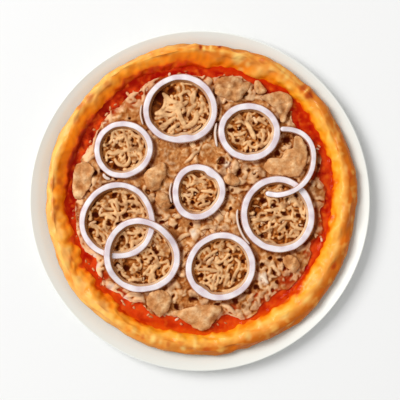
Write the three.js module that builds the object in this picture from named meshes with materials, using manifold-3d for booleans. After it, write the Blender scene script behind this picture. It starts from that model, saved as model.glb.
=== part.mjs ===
// Tuna and onion pizza on a round plate.
// Millimetres, +Z up. The origin is the middle of the plate's foot, where it stands.
// Angles turn anticlockwise from +X, seen from above.
import * as THREE from "three";
import { mergeVertices } from "three/addons/utils/BufferGeometryUtils.js";
import Module from "manifold-3d";

const wasm = await Module();
wasm.setup();

// Free space between layers that touch, and under the toppings that lie on the tuna
const GAP = 0.35;
const REST_GAP = 0.45;

// Plate: a coupe with a flat well, a shallow curved rim and a turned foot
const PLATE_RADIUS = 160;
const PLATE_HEIGHT = 15.5;
const WELL_HEIGHT = 6;
const WELL_RADIUS = 133;
const FOOT_RADIUS = 95;
const FOOT_WIDTH = 6;
const FOOT_DEPTH = 3;
const PLATE_SIDES = 48;

// Pizza: where its middle stands on the plate, and its layers from the well up
const PIZZA_X = 1.4;
const PIZZA_Y = 2.0;
const CRUST_BOTTOM = WELL_HEIGHT + 0.4;
const CRUST_RADIUS = 146.2;
const DOUGH_TOP = 12;
const RIM_TOP = 23;
const SAUCE_RADIUS = 127.6;
const SAUCE_THICKNESS = 1.6;
const SAUCE_BOTTOM = DOUGH_TOP + GAP;
const SAUCE_TOP = SAUCE_BOTTOM + SAUCE_THICKNESS;
const PIZZA_SIDES = 80;

// Tuna: a layer of pressed flakes with a ragged outline
const TUNA_RADIUS = 117.5;
const TUNA_BOTTOM = SAUCE_TOP + GAP;
const TUNA_THICKNESS = 3.3;
const TUNA_EDGE = 1.0;
const TUNA_SIDES = 54;
const FLAKE_LENGTH = 11;
const FLAKE_WIDTH = 2.0;
const FLAKE_TALL = 1.8;
const FLAKE_SUNK = 0.4;
const FLAKE_BEND = 1.2;
const FLAKE_SPACING = 6;
const FLAKES_PER_RING = 8;
const LUMP_LENGTH = 6;
const LUMP_TALL = 2.0;
const LUMP_SPACING = 9;
const LUMP_COUNT = 16;

// Onion: height of a cut ring, and how far its inner wall leans in at the bottom
const RING_HEIGHT = 4.8;
const RING_LEAN = 2.2;
const RING_SIDES = 28;
const CROSSING_LIFT = RING_HEIGHT + 0.6;

// Each ring: middle, mean radius of its band, width of the band, and its bent shape as
// an oval part (two lobes) and a three-lobed part, each with its size and direction.
// A lift lists the directions in which the ring climbs over another one.
const RINGS = [
  { x: -18.3, y: 86.1, radius: 30.7, band: 4.8, oval: 1.2, ovalTurn: 4, lobe: 0.5, lobeTurn: -36 },
  { x: -71.8, y: 48.2, radius: 24.5, band: 4.5, oval: 0.5, ovalTurn: 19, lobe: 0.4, lobeTurn: 7 },
  { x: 46.1, y: 64.7, radius: 25.0, band: 5.2, oval: 1.0, ovalTurn: -5, lobe: 0.1, lobeTurn: 23 },
  { x: -1.5, y: 8.5, radius: 22.6, band: 5.0, oval: 0.7, ovalTurn: 73, lobe: 0.7, lobeTurn: 3 },
  { x: 73.0, y: -12.7, radius: 32.1, band: 5.2, oval: 0.8, ovalTurn: -71, lobe: 0.3, lobeTurn: -39 },
  { x: -77.2, y: -18.7, radius: 33.0, band: 4.6, oval: 0.2, ovalTurn: 89, lobe: 0.6, lobeTurn: -43 },
  {
    x: -54.6, y: -51.1, radius: 32.2, band: 5.0, oval: 0.8, ovalTurn: -32, lobe: 0.7, lobeTurn: -13,
    lift: [70, 178],
  },
  { x: 19.5, y: -61.5, radius: 29.4, band: 5.0, oval: 0.8, ovalTurn: 32, lobe: 0.3, lobeTurn: -39 },
];

// The cut ring on the right lies open: its line runs from the ring above, out round the
// right side, over the ring below and into that ring's hollow.
const OPEN_RING = {
  path: [
    [77.0, 67.5], [86.0, 66.8], [96.0, 63.0], [103.5, 55.0], [106.6, 44.0],
    [105.2, 31.0], [100.0, 20.5], [93.0, 13.0], [84.0, 8.0], [73.0, 5.6], [61.5, 7.2],
  ],
  band: 4.2,
  steps: 22,
  liftAt: 0.71,
};

// Thin outer leaves that stand loose beside their rings
const STRANDS = [
  { path: [[36.2, 2.0], [34.6, -10.0], [36.0, -22.0], [41.0, -33.5], [48.5, -42.5]], width: 1.5 },
  { path: [[-26.6, 17.0], [-28.0, 8.0], [-26.4, -1.5]], width: 1.2 },
  { path: [[15.6, 73.0], [14.4, 63.0], [16.0, 51.0]], width: 1.7 },
  { path: [[-54.6, 90.0], [-55.4, 81.0], [-53.2, 71.5]], width: 1.2 },
  { path: [[-90.6, 25.6], [-88.2, 22.2], [-84.0, 20.4]], width: 2.4 },
];
const STRAND_HEIGHT = 2.6;
const STRAND_STEPS = 5;

// Large chunks of tuna: middle, height, and a hand-laid outline that runs anticlockwise
const CHUNKS = [
  {
    x: 30, y: 106, height: 5.2,
    outline: [
      [15, 100], [22, 97], [30, 94], [37, 94], [42, 100], [47, 106], [47, 111.5], [42, 112],
      [37, 116], [29, 117.5], [21, 116.5], [16, 114], [13, 107],
    ],
  },
  {
    x: 56, y: 105, height: 4.2,
    outline: [
      [51, 105], [55, 100], [60.5, 101], [62.5, 104], [58.5, 109], [55, 113], [51.5, 112],
    ],
  },
  {
    x: 77, y: 91, height: 5.2,
    outline: [
      [63, 92.5], [70, 86.5], [74, 80], [76, 73.5], [80, 75], [82, 82], [86, 88], [87.5, 94],
      [83, 100], [76, 102.5], [68, 101.5], [61, 99.3], [57, 97],
    ],
  },
  {
    x: 86, y: 38, height: 4.4,
    outline: [
      [88, 51], [80, 47], [76, 40], [67, 40.5], [61, 36], [62, 28], [70, 24], [82, 22], [92, 23],
      [98, 31], [101, 42], [99.5, 52], [95, 60], [89, 61],
    ],
  },
  {
    x: -41, y: 24, height: 5.0,
    outline: [
      [-50, 14], [-44, 9.5], [-38, 11.5], [-36, 17], [-32, 25], [-32, 34], [-37, 37], [-42, 33],
      [-49, 29], [-53, 22],
    ],
  },
  {
    x: -33, y: -1, height: 4.4,
    outline: [
      [-41.5, 0], [-38, -5], [-33, -8.5], [-27, -5], [-26, 1], [-30, 6.5], [-36, 8], [-41, 6],
    ],
  },
  {
    x: -111, y: 20, height: 4.6,
    outline: [
      [-120, 18], [-118.5, 8], [-114, 3], [-109, 8], [-104, 15], [-103, 24], [-99, 31], [-105, 37],
      [-114, 36.5], [-118.5, 29],
    ],
  },
  {
    x: -38, y: -95, height: 5.4,
    outline: [
      [-49, -98], [-44, -104], [-38, -108.5], [-33, -106], [-29, -100.5], [-27, -93], [-29.5, -86],
      [-37, -83], [-45, -85], [-50, -91],
    ],
  },
  {
    x: 0, y: -108, height: 5.4,
    outline: [
      [-18, -110.5], [-10, -115.5], [-5, -119.5], [1, -121.5], [7.5, -120], [12, -115.5],
      [16, -109], [20, -102], [16, -98], [7, -97], [-3, -98], [-12, -100], [-20, -102.5],
      [-25.5, -104.5],
    ],
  },
  {
    x: 86, y: -58, height: 4.8,
    outline: [
      [78, -57.5], [82, -63], [89, -66.5], [93.5, -61], [91, -54], [85, -50.5], [79, -53],
    ],
  },
  {
    x: 30, y: 20, height: 4.4,
    outline: [
      [22.5, 18.5], [27, 15], [34, 14], [37.5, 19], [34, 23.5], [28, 26], [22.5, 22.5],
    ],
  },
];
const CHUNK_SIDES = 13;
const CHUNK_CLEARANCE = 0.7;

const TURN = Math.PI * 2;
const toRadians = THREE.MathUtils.degToRad;

// A repeatable source of numbers from 0 to 1
function makeRandom(seed) {
  let state = seed;
  return () => {
    state = (state + 0x6d2b79f5) | 0;
    let mixed = Math.imul(state ^ (state >>> 15), 1 | state);
    mixed = (mixed + Math.imul(mixed ^ (mixed >>> 7), 61 | mixed)) ^ mixed;
    return ((mixed ^ (mixed >>> 14)) >>> 0) / 4294967296;
  };
}

// A smooth uneven line round a circle, between about -1 and 1, from a few waves
function makeWobble(seed, waves) {
  const random = makeRandom(seed);
  const parts = waves.map((count) => ({ count, phase: random() * TURN }));
  const share = 1 / Math.sqrt(waves.length);
  return (angle) =>
    share * parts.reduce((sum, part) => sum + Math.cos(part.count * angle + part.phase), 0);
}

// 0 below the first value, 1 above the second, and a smooth rise between
function smoothRise(from, to, value) {
  return THREE.MathUtils.smoothstep(value, from, to);
}

// The radius at which the sauce meets the crust's inner slope
const innerWobble = makeWobble(11, [7, 11, 16]);
function sauceRadius(angle) {
  const wideSide = 4.4 * Math.cos(angle - toRadians(127));
  const oval = 1.7 * Math.cos(2 * angle - toRadians(145));
  const threeSided = 1.2 * Math.cos(3 * angle - toRadians(86));
  return SAUCE_RADIUS + wideSide + oval + threeSided + 0.7 * innerWobble(angle);
}

const tunaWobble = makeWobble(23, [3, 5, 8, 13]);
function tunaRadius(angle) {
  return Math.min(TUNA_RADIUS + 3.4 * tunaWobble(angle), sauceRadius(angle) - 4);
}

// Height of the bare tuna layer, or of the sauce outside it, at a place on the plate
function supportHeight(x, y) {
  const dx = x - PIZZA_X;
  const dy = y - PIZZA_Y;
  const angle = Math.atan2(dy, dx);
  const inside = tunaRadius(angle) - Math.hypot(dx, dy);
  const swell = 0.5 * Math.sin(dx / 17 + 1.1) * Math.sin(dy / 15 + 0.4);
  const full = TUNA_THICKNESS + swell - TUNA_EDGE;
  return TUNA_BOTTOM + TUNA_EDGE + full * smoothRise(-1, 13, inside);
}

// A BufferGeometry from corner points and corner numbers
function geometryFrom(points, faces) {
  const geometry = new THREE.BufferGeometry();
  geometry.setAttribute("position", new THREE.Float32BufferAttribute(points.flat(), 3));
  geometry.setIndex(faces.flat());
  return geometry;
}

// A closed body from a middle point, loops of points and a last middle point. The loops
// run out along the bottom, up the side and back over the top.
function loopedBody(first, loops, last) {
  const sides = loops[0].length;
  const points = [first, ...loops.flat(), last];
  const end = points.length - 1;
  const at = (row, column) => 1 + row * sides + (column % sides);
  const faces = [];
  for (let column = 0; column < sides; column++) {
    faces.push([0, at(0, column + 1), at(0, column)]);
    faces.push([at(loops.length - 1, column), at(loops.length - 1, column + 1), end]);
    for (let row = 0; row + 1 < loops.length; row++) {
      faces.push([at(row, column), at(row, column + 1), at(row + 1, column + 1)]);
      faces.push([at(row, column), at(row + 1, column + 1), at(row + 1, column)]);
    }
  }
  return geometryFrom(points, faces);
}

// A closed body from copies of one section. A closed sweep joins its last section to the
// first, and an open one gets a flat end at both ends.
function sweptBody(sections, closed) {
  const corners = sections[0].length;
  const count = sections.length;
  const at = (corner, step) => (step % count) * corners + (corner % corners);
  const faces = [];
  for (let step = 0; step < (closed ? count : count - 1); step++) {
    for (let corner = 0; corner < corners; corner++) {
      faces.push([at(corner, step), at(corner, step + 1), at(corner + 1, step + 1)]);
      faces.push([at(corner, step), at(corner + 1, step + 1), at(corner + 1, step)]);
    }
  }
  for (let corner = 1; !closed && corner + 1 < corners; corner++) {
    faces.push([at(0, 0), at(corner, 0), at(corner + 1, 0)]);
    faces.push([at(0, count - 1), at(corner + 1, count - 1), at(corner, count - 1)]);
  }
  return geometryFrom(sections.flat(), faces);
}

// Places in the pizza's own polar frame
function polarPoint(radius, angle, z) {
  return [PIZZA_X + radius * Math.cos(angle), PIZZA_Y + radius * Math.sin(angle), z];
}

function loopOf(sides, pointAt) {
  return Array.from({ length: sides }, (_, side) => pointAt((side / sides) * TURN));
}

// Plate
function plateGeometry() {
  const inner = FOOT_RADIUS - FOOT_WIDTH / 2;
  const outer = FOOT_RADIUS + FOOT_WIDTH / 2;
  const profile = [
    [0, FOOT_DEPTH],
    [inner - 1.5, FOOT_DEPTH],
    [inner, 0],
    [outer, 0],
    [outer + 2, FOOT_DEPTH - 0.6],
    [WELL_RADIUS, FOOT_DEPTH + 0.2],
    [PLATE_RADIUS - 10, FOOT_DEPTH + 3.8],
    [PLATE_RADIUS - 2.2, PLATE_HEIGHT - 4.2],
    [PLATE_RADIUS, PLATE_HEIGHT - 1.4],
    [PLATE_RADIUS - 1.3, PLATE_HEIGHT],
    [PLATE_RADIUS - 3, PLATE_HEIGHT - 0.8],
    [PLATE_RADIUS - 7, PLATE_HEIGHT - 3.3],
    [PLATE_RADIUS - 12, WELL_HEIGHT + 3.4],
    [WELL_RADIUS + 10, WELL_HEIGHT + 1.3],
    [WELL_RADIUS + 5, WELL_HEIGHT + 0.3],
    [WELL_RADIUS, WELL_HEIGHT],
    [0, WELL_HEIGHT],
  ].map(([radius, z]) => new THREE.Vector2(radius, z));
  return new THREE.LatheGeometry(profile, PLATE_SIDES).rotateX(Math.PI / 2);
}

// Crust: a flat bread base whose rim is puffed unevenly, with blisters and creases
const outlineWobble = makeWobble(31, [4, 7, 12]);
const crestWobble = makeWobble(37, [5, 9, 14, 21]);
const puffWobble = makeWobble(41, [6, 11, 17, 26]);
const creaseWobble = makeWobble(43, [8, 15, 23]);

function crustGeometry() {
  // Each row: a share from the inner foot (0) to the outside (1), and its height
  const rows = [
    { share: 0.9, z: CRUST_BOTTOM + 3.2, puff: 0 },
    { share: 1.0, z: CRUST_BOTTOM + 7.0, puff: 0.3 },
    { share: 0.98, z: RIM_TOP - 6.6, puff: 0.6 },
    { share: 0.91, z: RIM_TOP - 3.4, puff: 1.0 },
    { share: 0.79, z: RIM_TOP - 1.1, puff: 1.5 },
    { share: 0.64, z: RIM_TOP, puff: 1.5, crease: 1 },
    { share: 0.49, z: RIM_TOP - 0.6, puff: 1.4, crease: 0.6 },
    { share: 0.34, z: RIM_TOP - 2.6, puff: 1.0 },
    { share: 0.19, z: RIM_TOP - 5.8, puff: 0.6 },
    { share: 0.07, z: DOUGH_TOP + 2.2, puff: 0.2 },
  ];
  const outer = (angle) => CRUST_RADIUS + 0.9 * outlineWobble(angle);
  const foot = (angle) => sauceRadius(angle) - 1.4;
  const loops = [
    loopOf(PIZZA_SIDES, (angle) => polarPoint(132, angle, CRUST_BOTTOM)),
    ...rows.map(({ share, z, puff, crease = 0 }, row) =>
      loopOf(PIZZA_SIDES, (angle) => {
        const slip = row > 2 && row < 7 ? 0.9 * crestWobble(angle + 0.4 * row) : 0;
        const radius = THREE.MathUtils.lerp(foot(angle), outer(angle), share) + slip;
        const swell = puff * 0.8 * puffWobble(angle + 0.05 * row);
        const dip = crease * 1.1 * Math.max(0, creaseWobble(angle));
        return polarPoint(radius, angle, z + swell - dip);
      }),
    ),
    loopOf(PIZZA_SIDES, (angle) => polarPoint(foot(angle), angle, DOUGH_TOP)),
  ];
  return loopedBody([PIZZA_X, PIZZA_Y, CRUST_BOTTOM], loops, [PIZZA_X, PIZZA_Y, DOUGH_TOP]);
}

// Sauce: a thin layer that shows as an uneven ring between the tuna and the crust
const sauceWobble = makeWobble(53, [13, 21, 34]);
function sauceGeometry() {
  const edge = (angle) => sauceRadius(angle) - 1.4 - 2 * GAP;
  const dent = (angle) => 0.3 * (1 + sauceWobble(angle));
  const loops = [
    loopOf(PIZZA_SIDES, (angle) => polarPoint(edge(angle) - 0.3, angle, SAUCE_BOTTOM)),
    loopOf(PIZZA_SIDES, (angle) => polarPoint(edge(angle), angle, SAUCE_BOTTOM + 0.7)),
    loopOf(PIZZA_SIDES, (angle) => polarPoint(edge(angle) - 1.5, angle, SAUCE_TOP)),
    loopOf(PIZZA_SIDES, (angle) => {
      const radius = THREE.MathUtils.lerp(edge(angle), tunaRadius(angle), 0.6);
      return polarPoint(radius, angle, SAUCE_TOP - dent(angle));
    }),
    loopOf(PIZZA_SIDES, (angle) => polarPoint(tunaRadius(angle) - 4, angle, SAUCE_TOP)),
  ];
  return loopedBody([PIZZA_X, PIZZA_Y, SAUCE_BOTTOM], loops, [PIZZA_X, PIZZA_Y, SAUCE_TOP]);
}

// Onion rings: one fleshy leaf, flat where it was cut, with a leaning inner wall
function ringMiddle(ring, angle) {
  const oval = ring.oval * Math.cos(2 * (angle - toRadians(ring.ovalTurn)));
  const lobe = ring.lobe * Math.cos(3 * (angle - toRadians(ring.lobeTurn)));
  return ring.radius + oval + lobe;
}

// How far a ring is lifted, for each direction in which it crosses another ring
function ringLift(ring, angle) {
  return Math.max(
    0,
    ...(ring.lift ?? []).map((direction) => {
      const away = Math.abs(Math.atan2(
        Math.sin(angle - toRadians(direction)), Math.cos(angle - toRadians(direction)),
      ));
      return CROSSING_LIFT * (1 - smoothRise(toRadians(19), toRadians(58), away));
    }),
  );
}

// One section of an onion leaf: steps outwards and up from the middle of its foot
function leafSection(band, height, lean) {
  const half = band / 2;
  return [
    [-half - lean, 0],
    [half - 0.2, 0],
    [half + 0.25, 0.55 * height],
    [half - 0.5, height],
    [0.5 - half, height],
    [-half - 0.35 * lean, 0.62 * height],
  ];
}

function ringGeometry(ring) {
  const sections = loopOf(RING_SIDES + (ring.lift ? 8 : 0), (angle) => {
    const middle = ringMiddle(ring, angle);
    const lift = ringLift(ring, angle);
    return leafSection(ring.band, RING_HEIGHT, RING_LEAN).map(([out, up]) => {
      const x = ring.x + (middle + out) * Math.cos(angle);
      const y = ring.y + (middle + out) * Math.sin(angle);
      return [x, y, supportHeight(x, y) + REST_GAP + lift + up];
    });
  });
  return sweptBody(sections, true);
}

function lineThrough(path) {
  const points = path.map(([x, y]) => new THREE.Vector3(x, y, 0));
  return new THREE.CatmullRomCurve3(points, false, "catmullrom");
}

// A leaf along a hand-laid line: the open ring and the loose strands
function leafGeometry(path, section, steps, liftOf) {
  const line = lineThrough(path);
  const sections = Array.from({ length: steps + 1 }, (_, step) => {
    const share = step / steps;
    const point = line.getPointAt(share);
    const along = line.getTangentAt(share);
    return section.map(([out, up]) => {
      const x = point.x + out * along.y;
      const y = point.y - out * along.x;
      return [x, y, supportHeight(x, y) + REST_GAP + liftOf(share) + up];
    });
  });
  return sweptBody(sections, false);
}

// Whether a place lies clear of every onion piece by a given distance
const openLine = lineThrough(OPEN_RING.path).getSpacedPoints(60);
const strandLines = STRANDS.map(({ path, width }) => ({
  width,
  points: lineThrough(path).getSpacedPoints(24),
}));

function clearOfOnion(x, y, distance) {
  const nearRing = RINGS.some((ring) => {
    const angle = Math.atan2(y - ring.y, x - ring.x);
    const out = Math.hypot(x - ring.x, y - ring.y) - ringMiddle(ring, angle);
    const half = ring.band / 2 + distance;
    return out < half + 0.3 && out > -half - RING_LEAN;
  });
  const near = (points, half) =>
    points.some((point) => Math.hypot(x - point.x, y - point.y) < half + distance);
  return (
    !nearRing &&
    !near(openLine, OPEN_RING.band / 2 + 0.4) &&
    !strandLines.some(({ points, width }) => near(points, width / 2 + 0.3))
  );
}

// A chunk's outline as evenly spread points, each drawn in to the middle until it is clear
// of the onion pieces
function chunkOutline(chunk) {
  const corners = chunk.outline.map(([x, y]) => new THREE.Vector3(x, y, 0));
  const curve = new THREE.CatmullRomCurve3(corners, true, "catmullrom");
  const middle = new THREE.Vector3(chunk.x, chunk.y, 0);
  return Array.from({ length: CHUNK_SIDES }, (_, side) => {
    const point = curve.getPoint(side / CHUNK_SIDES);
    while (!clearOfOnion(point.x, point.y, CHUNK_CLEARANCE)) point.lerp(middle, 0.04);
    return point;
  });
}

// Large chunks: low uneven domes
function chunkGeometry(chunk, index) {
  const heightWobble = makeWobble(201 + index, [1, 2, 4]);
  const outline = chunkOutline(chunk);
  const place = (corner, share, up) => {
    const x = THREE.MathUtils.lerp(chunk.x, corner.x, share);
    const y = THREE.MathUtils.lerp(chunk.y, corner.y, share);
    return [x, y, supportHeight(x, y) + REST_GAP + up];
  };
  const ringOf = (share, up, uneven) =>
    outline.map((corner) => {
      const angle = Math.atan2(corner.y - chunk.y, corner.x - chunk.x);
      return place(corner, share, up + uneven * heightWobble(angle));
    });
  const full = chunk.height;
  const loops = [
    ringOf(0.55, 0, 0),
    ringOf(0.9, 0, 0),
    ringOf(1.0, 0.3 * full, 0.2),
    ringOf(0.92, 0.66 * full, 0.3),
    ringOf(0.68, 0.92 * full, 0.5),
    ringOf(0.34, full, 0.35),
  ];
  return loopedBody(place(chunk, 0, 0), loops, place(chunk, 0, full * 0.97));
}

function clearOfChunks(x, y, distance) {
  return CHUNKS.every((chunk) => {
    const farthest = Math.max(...chunk.outline.map(([a, b]) => Math.hypot(a - chunk.x, b - chunk.y)));
    return Math.hypot(x - chunk.x, y - chunk.y) > farthest + distance;
  });
}

// Tuna layer: the bare core, then flakes in the rings and lumps between them
function tunaCore() {
  const shares = [0.16, 0.31, 0.46, 0.6, 0.73, 0.84, 0.93];
  const loops = [
    loopOf(TUNA_SIDES, (angle) => polarPoint(tunaRadius(angle) - 0.6, angle, TUNA_BOTTOM)),
    loopOf(TUNA_SIDES, (angle) => polarPoint(tunaRadius(angle), angle, TUNA_BOTTOM + 0.5)),
    ...[...shares].reverse().map((share) =>
      loopOf(TUNA_SIDES, (angle) => {
        const [x, y] = polarPoint(tunaRadius(angle) * share, angle, 0);
        return [x, y, supportHeight(x, y)];
      }),
    ),
  ];
  const middle = supportHeight(PIZZA_X, PIZZA_Y);
  return loopedBody([PIZZA_X, PIZZA_Y, TUNA_BOTTOM], loops, [PIZZA_X, PIZZA_Y, middle]);
}

// A flake: a bent three-sided strip that lies sunk in the core up to its lower edges
function flakeGeometry(x, y, angle, length, width, bend) {
  const sections = [-0.5, 0, 0.5].map((share) => {
    const side = bend * (1 - 4 * share * share);
    const px = x + length * share * Math.cos(angle) - side * Math.sin(angle);
    const py = y + length * share * Math.sin(angle) + side * Math.cos(angle);
    const size = share === 0 ? 1 : 0.6;
    const base = supportHeight(px, py);
    const outX = 0.6 * width * size * Math.sin(angle);
    const outY = -0.6 * width * size * Math.cos(angle);
    return [
      [px - outX, py - outY, base - FLAKE_SUNK],
      [px + outX, py + outY, base - FLAKE_SUNK],
      [px, py, base + FLAKE_TALL * size],
    ];
  });
  return sweptBody(sections, false);
}

// A lump: a squashed ball of few sides, half sunk in the core
function lumpGeometry(x, y, long, wide, tall, angle) {
  return new THREE.SphereGeometry(1, 7, 4)
    .rotateX(Math.PI / 2)
    .scale(long, wide, tall)
    .rotateZ(angle)
    .translate(x, y, supportHeight(x, y) + 0.1);
}

function solidFrom(geometry) {
  const bare = geometry.clone();
  bare.deleteAttribute("normal");
  bare.deleteAttribute("uv");
  const merged = mergeVertices(bare, 1e-4);
  return new wasm.Manifold(new wasm.Mesh({
    numProp: 3,
    vertProperties: merged.getAttribute("position").array,
    triVerts: new Uint32Array(merged.index.array),
  }));
}

function geometryOf(solid) {
  const mesh = solid.getMesh();
  const geometry = new THREE.BufferGeometry();
  geometry.setAttribute("position", new THREE.BufferAttribute(mesh.vertProperties, 3));
  geometry.setIndex(new THREE.BufferAttribute(mesh.triVerts, 1));
  return geometry;
}

function flakesInside(middleX, middleY, reach, count, random) {
  const flakes = [];
  for (let attempt = 0; attempt < 400 && flakes.length < count; attempt++) {
    const away = reach * Math.sqrt(random());
    const round = random() * TURN;
    const x = middleX + away * Math.cos(round);
    const y = middleY + away * Math.sin(round);
    const angle = random() * TURN;
    const length = FLAKE_LENGTH * (0.75 + 0.5 * random());
    const width = FLAKE_WIDTH * (0.8 + 0.5 * random());
    const bend = 2 * FLAKE_BEND * (random() - 0.5);
    const places = [-0.5, -0.25, 0, 0.25, 0.5].map((share) => [
      x + length * share * Math.cos(angle), y + length * share * Math.sin(angle),
    ]);
    const free = places.every(
      ([px, py]) => clearOfOnion(px, py, width / 2 + 1.6) && clearOfChunks(px, py, width / 2 + 0.6),
    );
    const apart = flakes.every((other) => Math.hypot(other.x - x, other.y - y) > FLAKE_SPACING);
    if (free && apart) flakes.push({ x, y, angle, length, width, bend });
  }
  return flakes;
}

function lumpsBetween(random) {
  const lumps = [];
  for (let attempt = 0; attempt < 4000 && lumps.length < LUMP_COUNT; attempt++) {
    const away = (TUNA_RADIUS - 9) * Math.sqrt(random());
    const round = random() * TURN;
    const [x, y] = polarPoint(away, round, 0);
    const long = LUMP_LENGTH * (0.75 + 0.5 * random());
    const wide = long * (0.6 + 0.25 * random());
    const tall = LUMP_TALL * (0.8 + 0.45 * random());
    const angle = random() * TURN;
    const free = clearOfOnion(x, y, long + 0.8) && clearOfChunks(x, y, long + 0.5);
    const inRing = RINGS.some((ring) => Math.hypot(x - ring.x, y - ring.y) < ring.radius);
    const apart = lumps.every((other) => Math.hypot(other.x - x, other.y - y) > LUMP_SPACING);
    if (free && !inRing && apart) lumps.push({ x, y, long, wide, tall, angle });
  }
  return lumps;
}

function tunaGeometry() {
  const random = makeRandom(77);
  const flakes = RINGS.flatMap((ring) =>
    flakesInside(ring.x, ring.y, ring.radius - ring.band - 5, FLAKES_PER_RING, random),
  );
  const lumps = lumpsBetween(random);
  const bodies = [
    tunaCore(),
    ...flakes.map((f) => flakeGeometry(f.x, f.y, f.angle, f.length, f.width, f.bend)),
    ...lumps.map((l) => lumpGeometry(l.x, l.y, l.long, l.wide, l.tall, l.angle)),
  ];
  return geometryOf(wasm.Manifold.union(bodies.map(solidFrom)));
}

// Finishes
const glaze = new THREE.MeshStandardMaterial({ color: 0xf1eee8, roughness: 0.12 });
const bakedDough = new THREE.MeshStandardMaterial({ color: 0xf2a23c, roughness: 0.6 });
const tomatoSauce = new THREE.MeshStandardMaterial({ color: 0xc4300a, roughness: 0.35 });
const tunaFlesh = new THREE.MeshStandardMaterial({ color: 0xd29c6a, roughness: 0.7 });
const onionFlesh = new THREE.MeshStandardMaterial({ color: 0xeae4ee, roughness: 0.4 });

const pizza = new THREE.Group();

function addPiece(name, geometry, material) {
  const piece = new THREE.Mesh(geometry, material);
  piece.name = name;
  pizza.add(piece);
}

addPiece("plate", plateGeometry(), glaze);
addPiece("crust", crustGeometry(), bakedDough);
addPiece("sauce", sauceGeometry(), tomatoSauce);
addPiece("tuna_flakes", tunaGeometry(), tunaFlesh);
CHUNKS.forEach((chunk, index) => {
  addPiece(`tuna_chunk_${index + 1}`, chunkGeometry(chunk, index), tunaFlesh);
});
RINGS.forEach((ring, index) => {
  addPiece(`onion_ring_${index + 1}`, ringGeometry(ring), onionFlesh);
});
addPiece(
  "onion_ring_open",
  leafGeometry(
    OPEN_RING.path,
    leafSection(OPEN_RING.band, RING_HEIGHT, 0.6),
    OPEN_RING.steps,
    (share) => CROSSING_LIFT * (1 - smoothRise(0.1, 0.25, Math.abs(share - OPEN_RING.liftAt))),
  ),
  onionFlesh,
);
STRANDS.forEach((strand, index) => {
  const section = leafSection(strand.width, STRAND_HEIGHT, 0.2);
  addPiece(
    `onion_strand_${index + 1}`,
    leafGeometry(strand.path, section, STRAND_STEPS, () => 0),
    onionFlesh,
  );
});

export default pizza;
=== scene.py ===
# %% [markdown]
# Tuna and onion pizza on its plate.
#
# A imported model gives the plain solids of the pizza: plate, crust, sauce, tuna and onion. This
# lesson dresses them. Each solid is swapped for a fine mesh of the same form, and every mesh
# gets a material made of shader nodes. All shapes are worked out in millimetres with numpy and
# turned into metres in one place, because food is easier to think about in millimetres.

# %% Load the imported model
import math

import bpy
import numpy as np
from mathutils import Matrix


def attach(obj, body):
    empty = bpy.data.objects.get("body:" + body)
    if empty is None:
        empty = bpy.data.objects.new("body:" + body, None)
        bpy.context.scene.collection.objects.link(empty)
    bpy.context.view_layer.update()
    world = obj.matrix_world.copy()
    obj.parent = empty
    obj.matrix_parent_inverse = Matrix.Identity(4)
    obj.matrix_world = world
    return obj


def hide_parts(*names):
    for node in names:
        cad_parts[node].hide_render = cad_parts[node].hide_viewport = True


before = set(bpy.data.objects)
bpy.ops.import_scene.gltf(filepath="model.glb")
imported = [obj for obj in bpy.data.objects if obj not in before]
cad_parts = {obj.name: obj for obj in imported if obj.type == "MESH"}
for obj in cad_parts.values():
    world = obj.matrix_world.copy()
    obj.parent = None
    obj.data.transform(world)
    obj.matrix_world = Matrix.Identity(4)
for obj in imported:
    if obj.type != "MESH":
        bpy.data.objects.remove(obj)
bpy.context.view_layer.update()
MM = 0.001
print("packed nodes:", len(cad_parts))

# %% [markdown]
# Camera and light.
#
# The pizza is seen from straight above, so the camera needs no turn: a Blender camera looks
# down its own -Z. A long lens far away keeps the plate's rim round. The light is a soft studio
# light from the upper left, high enough to throw short shadows, and a pale world fills them.

# %% Camera
PLATE_RADIUS = 160.0
PLATE_HEIGHT = 15.5
FRAME_WIDTH = 375.8
CAMERA_HEIGHT = 1500.0
FRAME_MIDDLE = (0.1, 0.9)

camera_data = bpy.data.cameras.new("camera")
camera_data.sensor_width = 36.0
camera_data.lens = camera_data.sensor_width * (CAMERA_HEIGHT - PLATE_HEIGHT) / FRAME_WIDTH
camera = bpy.data.objects.new("camera", camera_data)
camera.location = (FRAME_MIDDLE[0] * MM, FRAME_MIDDLE[1] * MM, CAMERA_HEIGHT * MM)
bpy.context.scene.collection.objects.link(camera)
bpy.context.scene.camera = camera
print("lens", round(camera_data.lens, 1), "mm")


# %% Lights
def add_soft_light(name, azimuth, elevation, distance, size, power):
    """A square light that shines at the middle of the plate; angles in degrees."""
    light_data = bpy.data.lights.new(name, "AREA")
    light_data.size = size
    light_data.energy = power
    light = bpy.data.objects.new(name, light_data)
    turn, up = math.radians(azimuth), math.radians(elevation)
    light.location = (
        distance * math.cos(up) * math.cos(turn),
        distance * math.cos(up) * math.sin(turn),
        distance * math.sin(up),
    )
    light.rotation_euler = (math.pi / 2 - up, 0, turn + math.pi / 2)
    bpy.context.scene.collection.objects.link(light)
    return light


add_soft_light("window light", azimuth=154, elevation=47.5, distance=5.0, size=2.8, power=202.0)
world = bpy.data.worlds.new("studio")
world.use_nodes = True
backdrop = world.node_tree.nodes["Background"].inputs
backdrop["Color"].default_value = (1, 1, 1, 1)
backdrop["Strength"].default_value = 0.52
bpy.context.scene.world = world
bpy.context.scene.view_settings.view_transform = "Standard"

# %% [markdown]
# Materials from a few helpers.
#
# Colours are easiest to read as the hex values of a paint chart, but Cycles counts light
# linearly, so one function converts them. One more function adds a shader node, sets its
# sockets and wires what feeds it, which keeps each material short enough to read.


# %% Colour and node helpers
def linear(hex_colour):
    """A hex colour such as D29C6A as linear red, green, blue and alpha."""
    shares = [int(hex_colour[i : i + 2], 16) / 255 for i in (0, 2, 4)]
    return [s / 12.92 if s <= 0.04045 else ((s + 0.055) / 1.055) ** 2.4 for s in shares] + [1.0]


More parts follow.
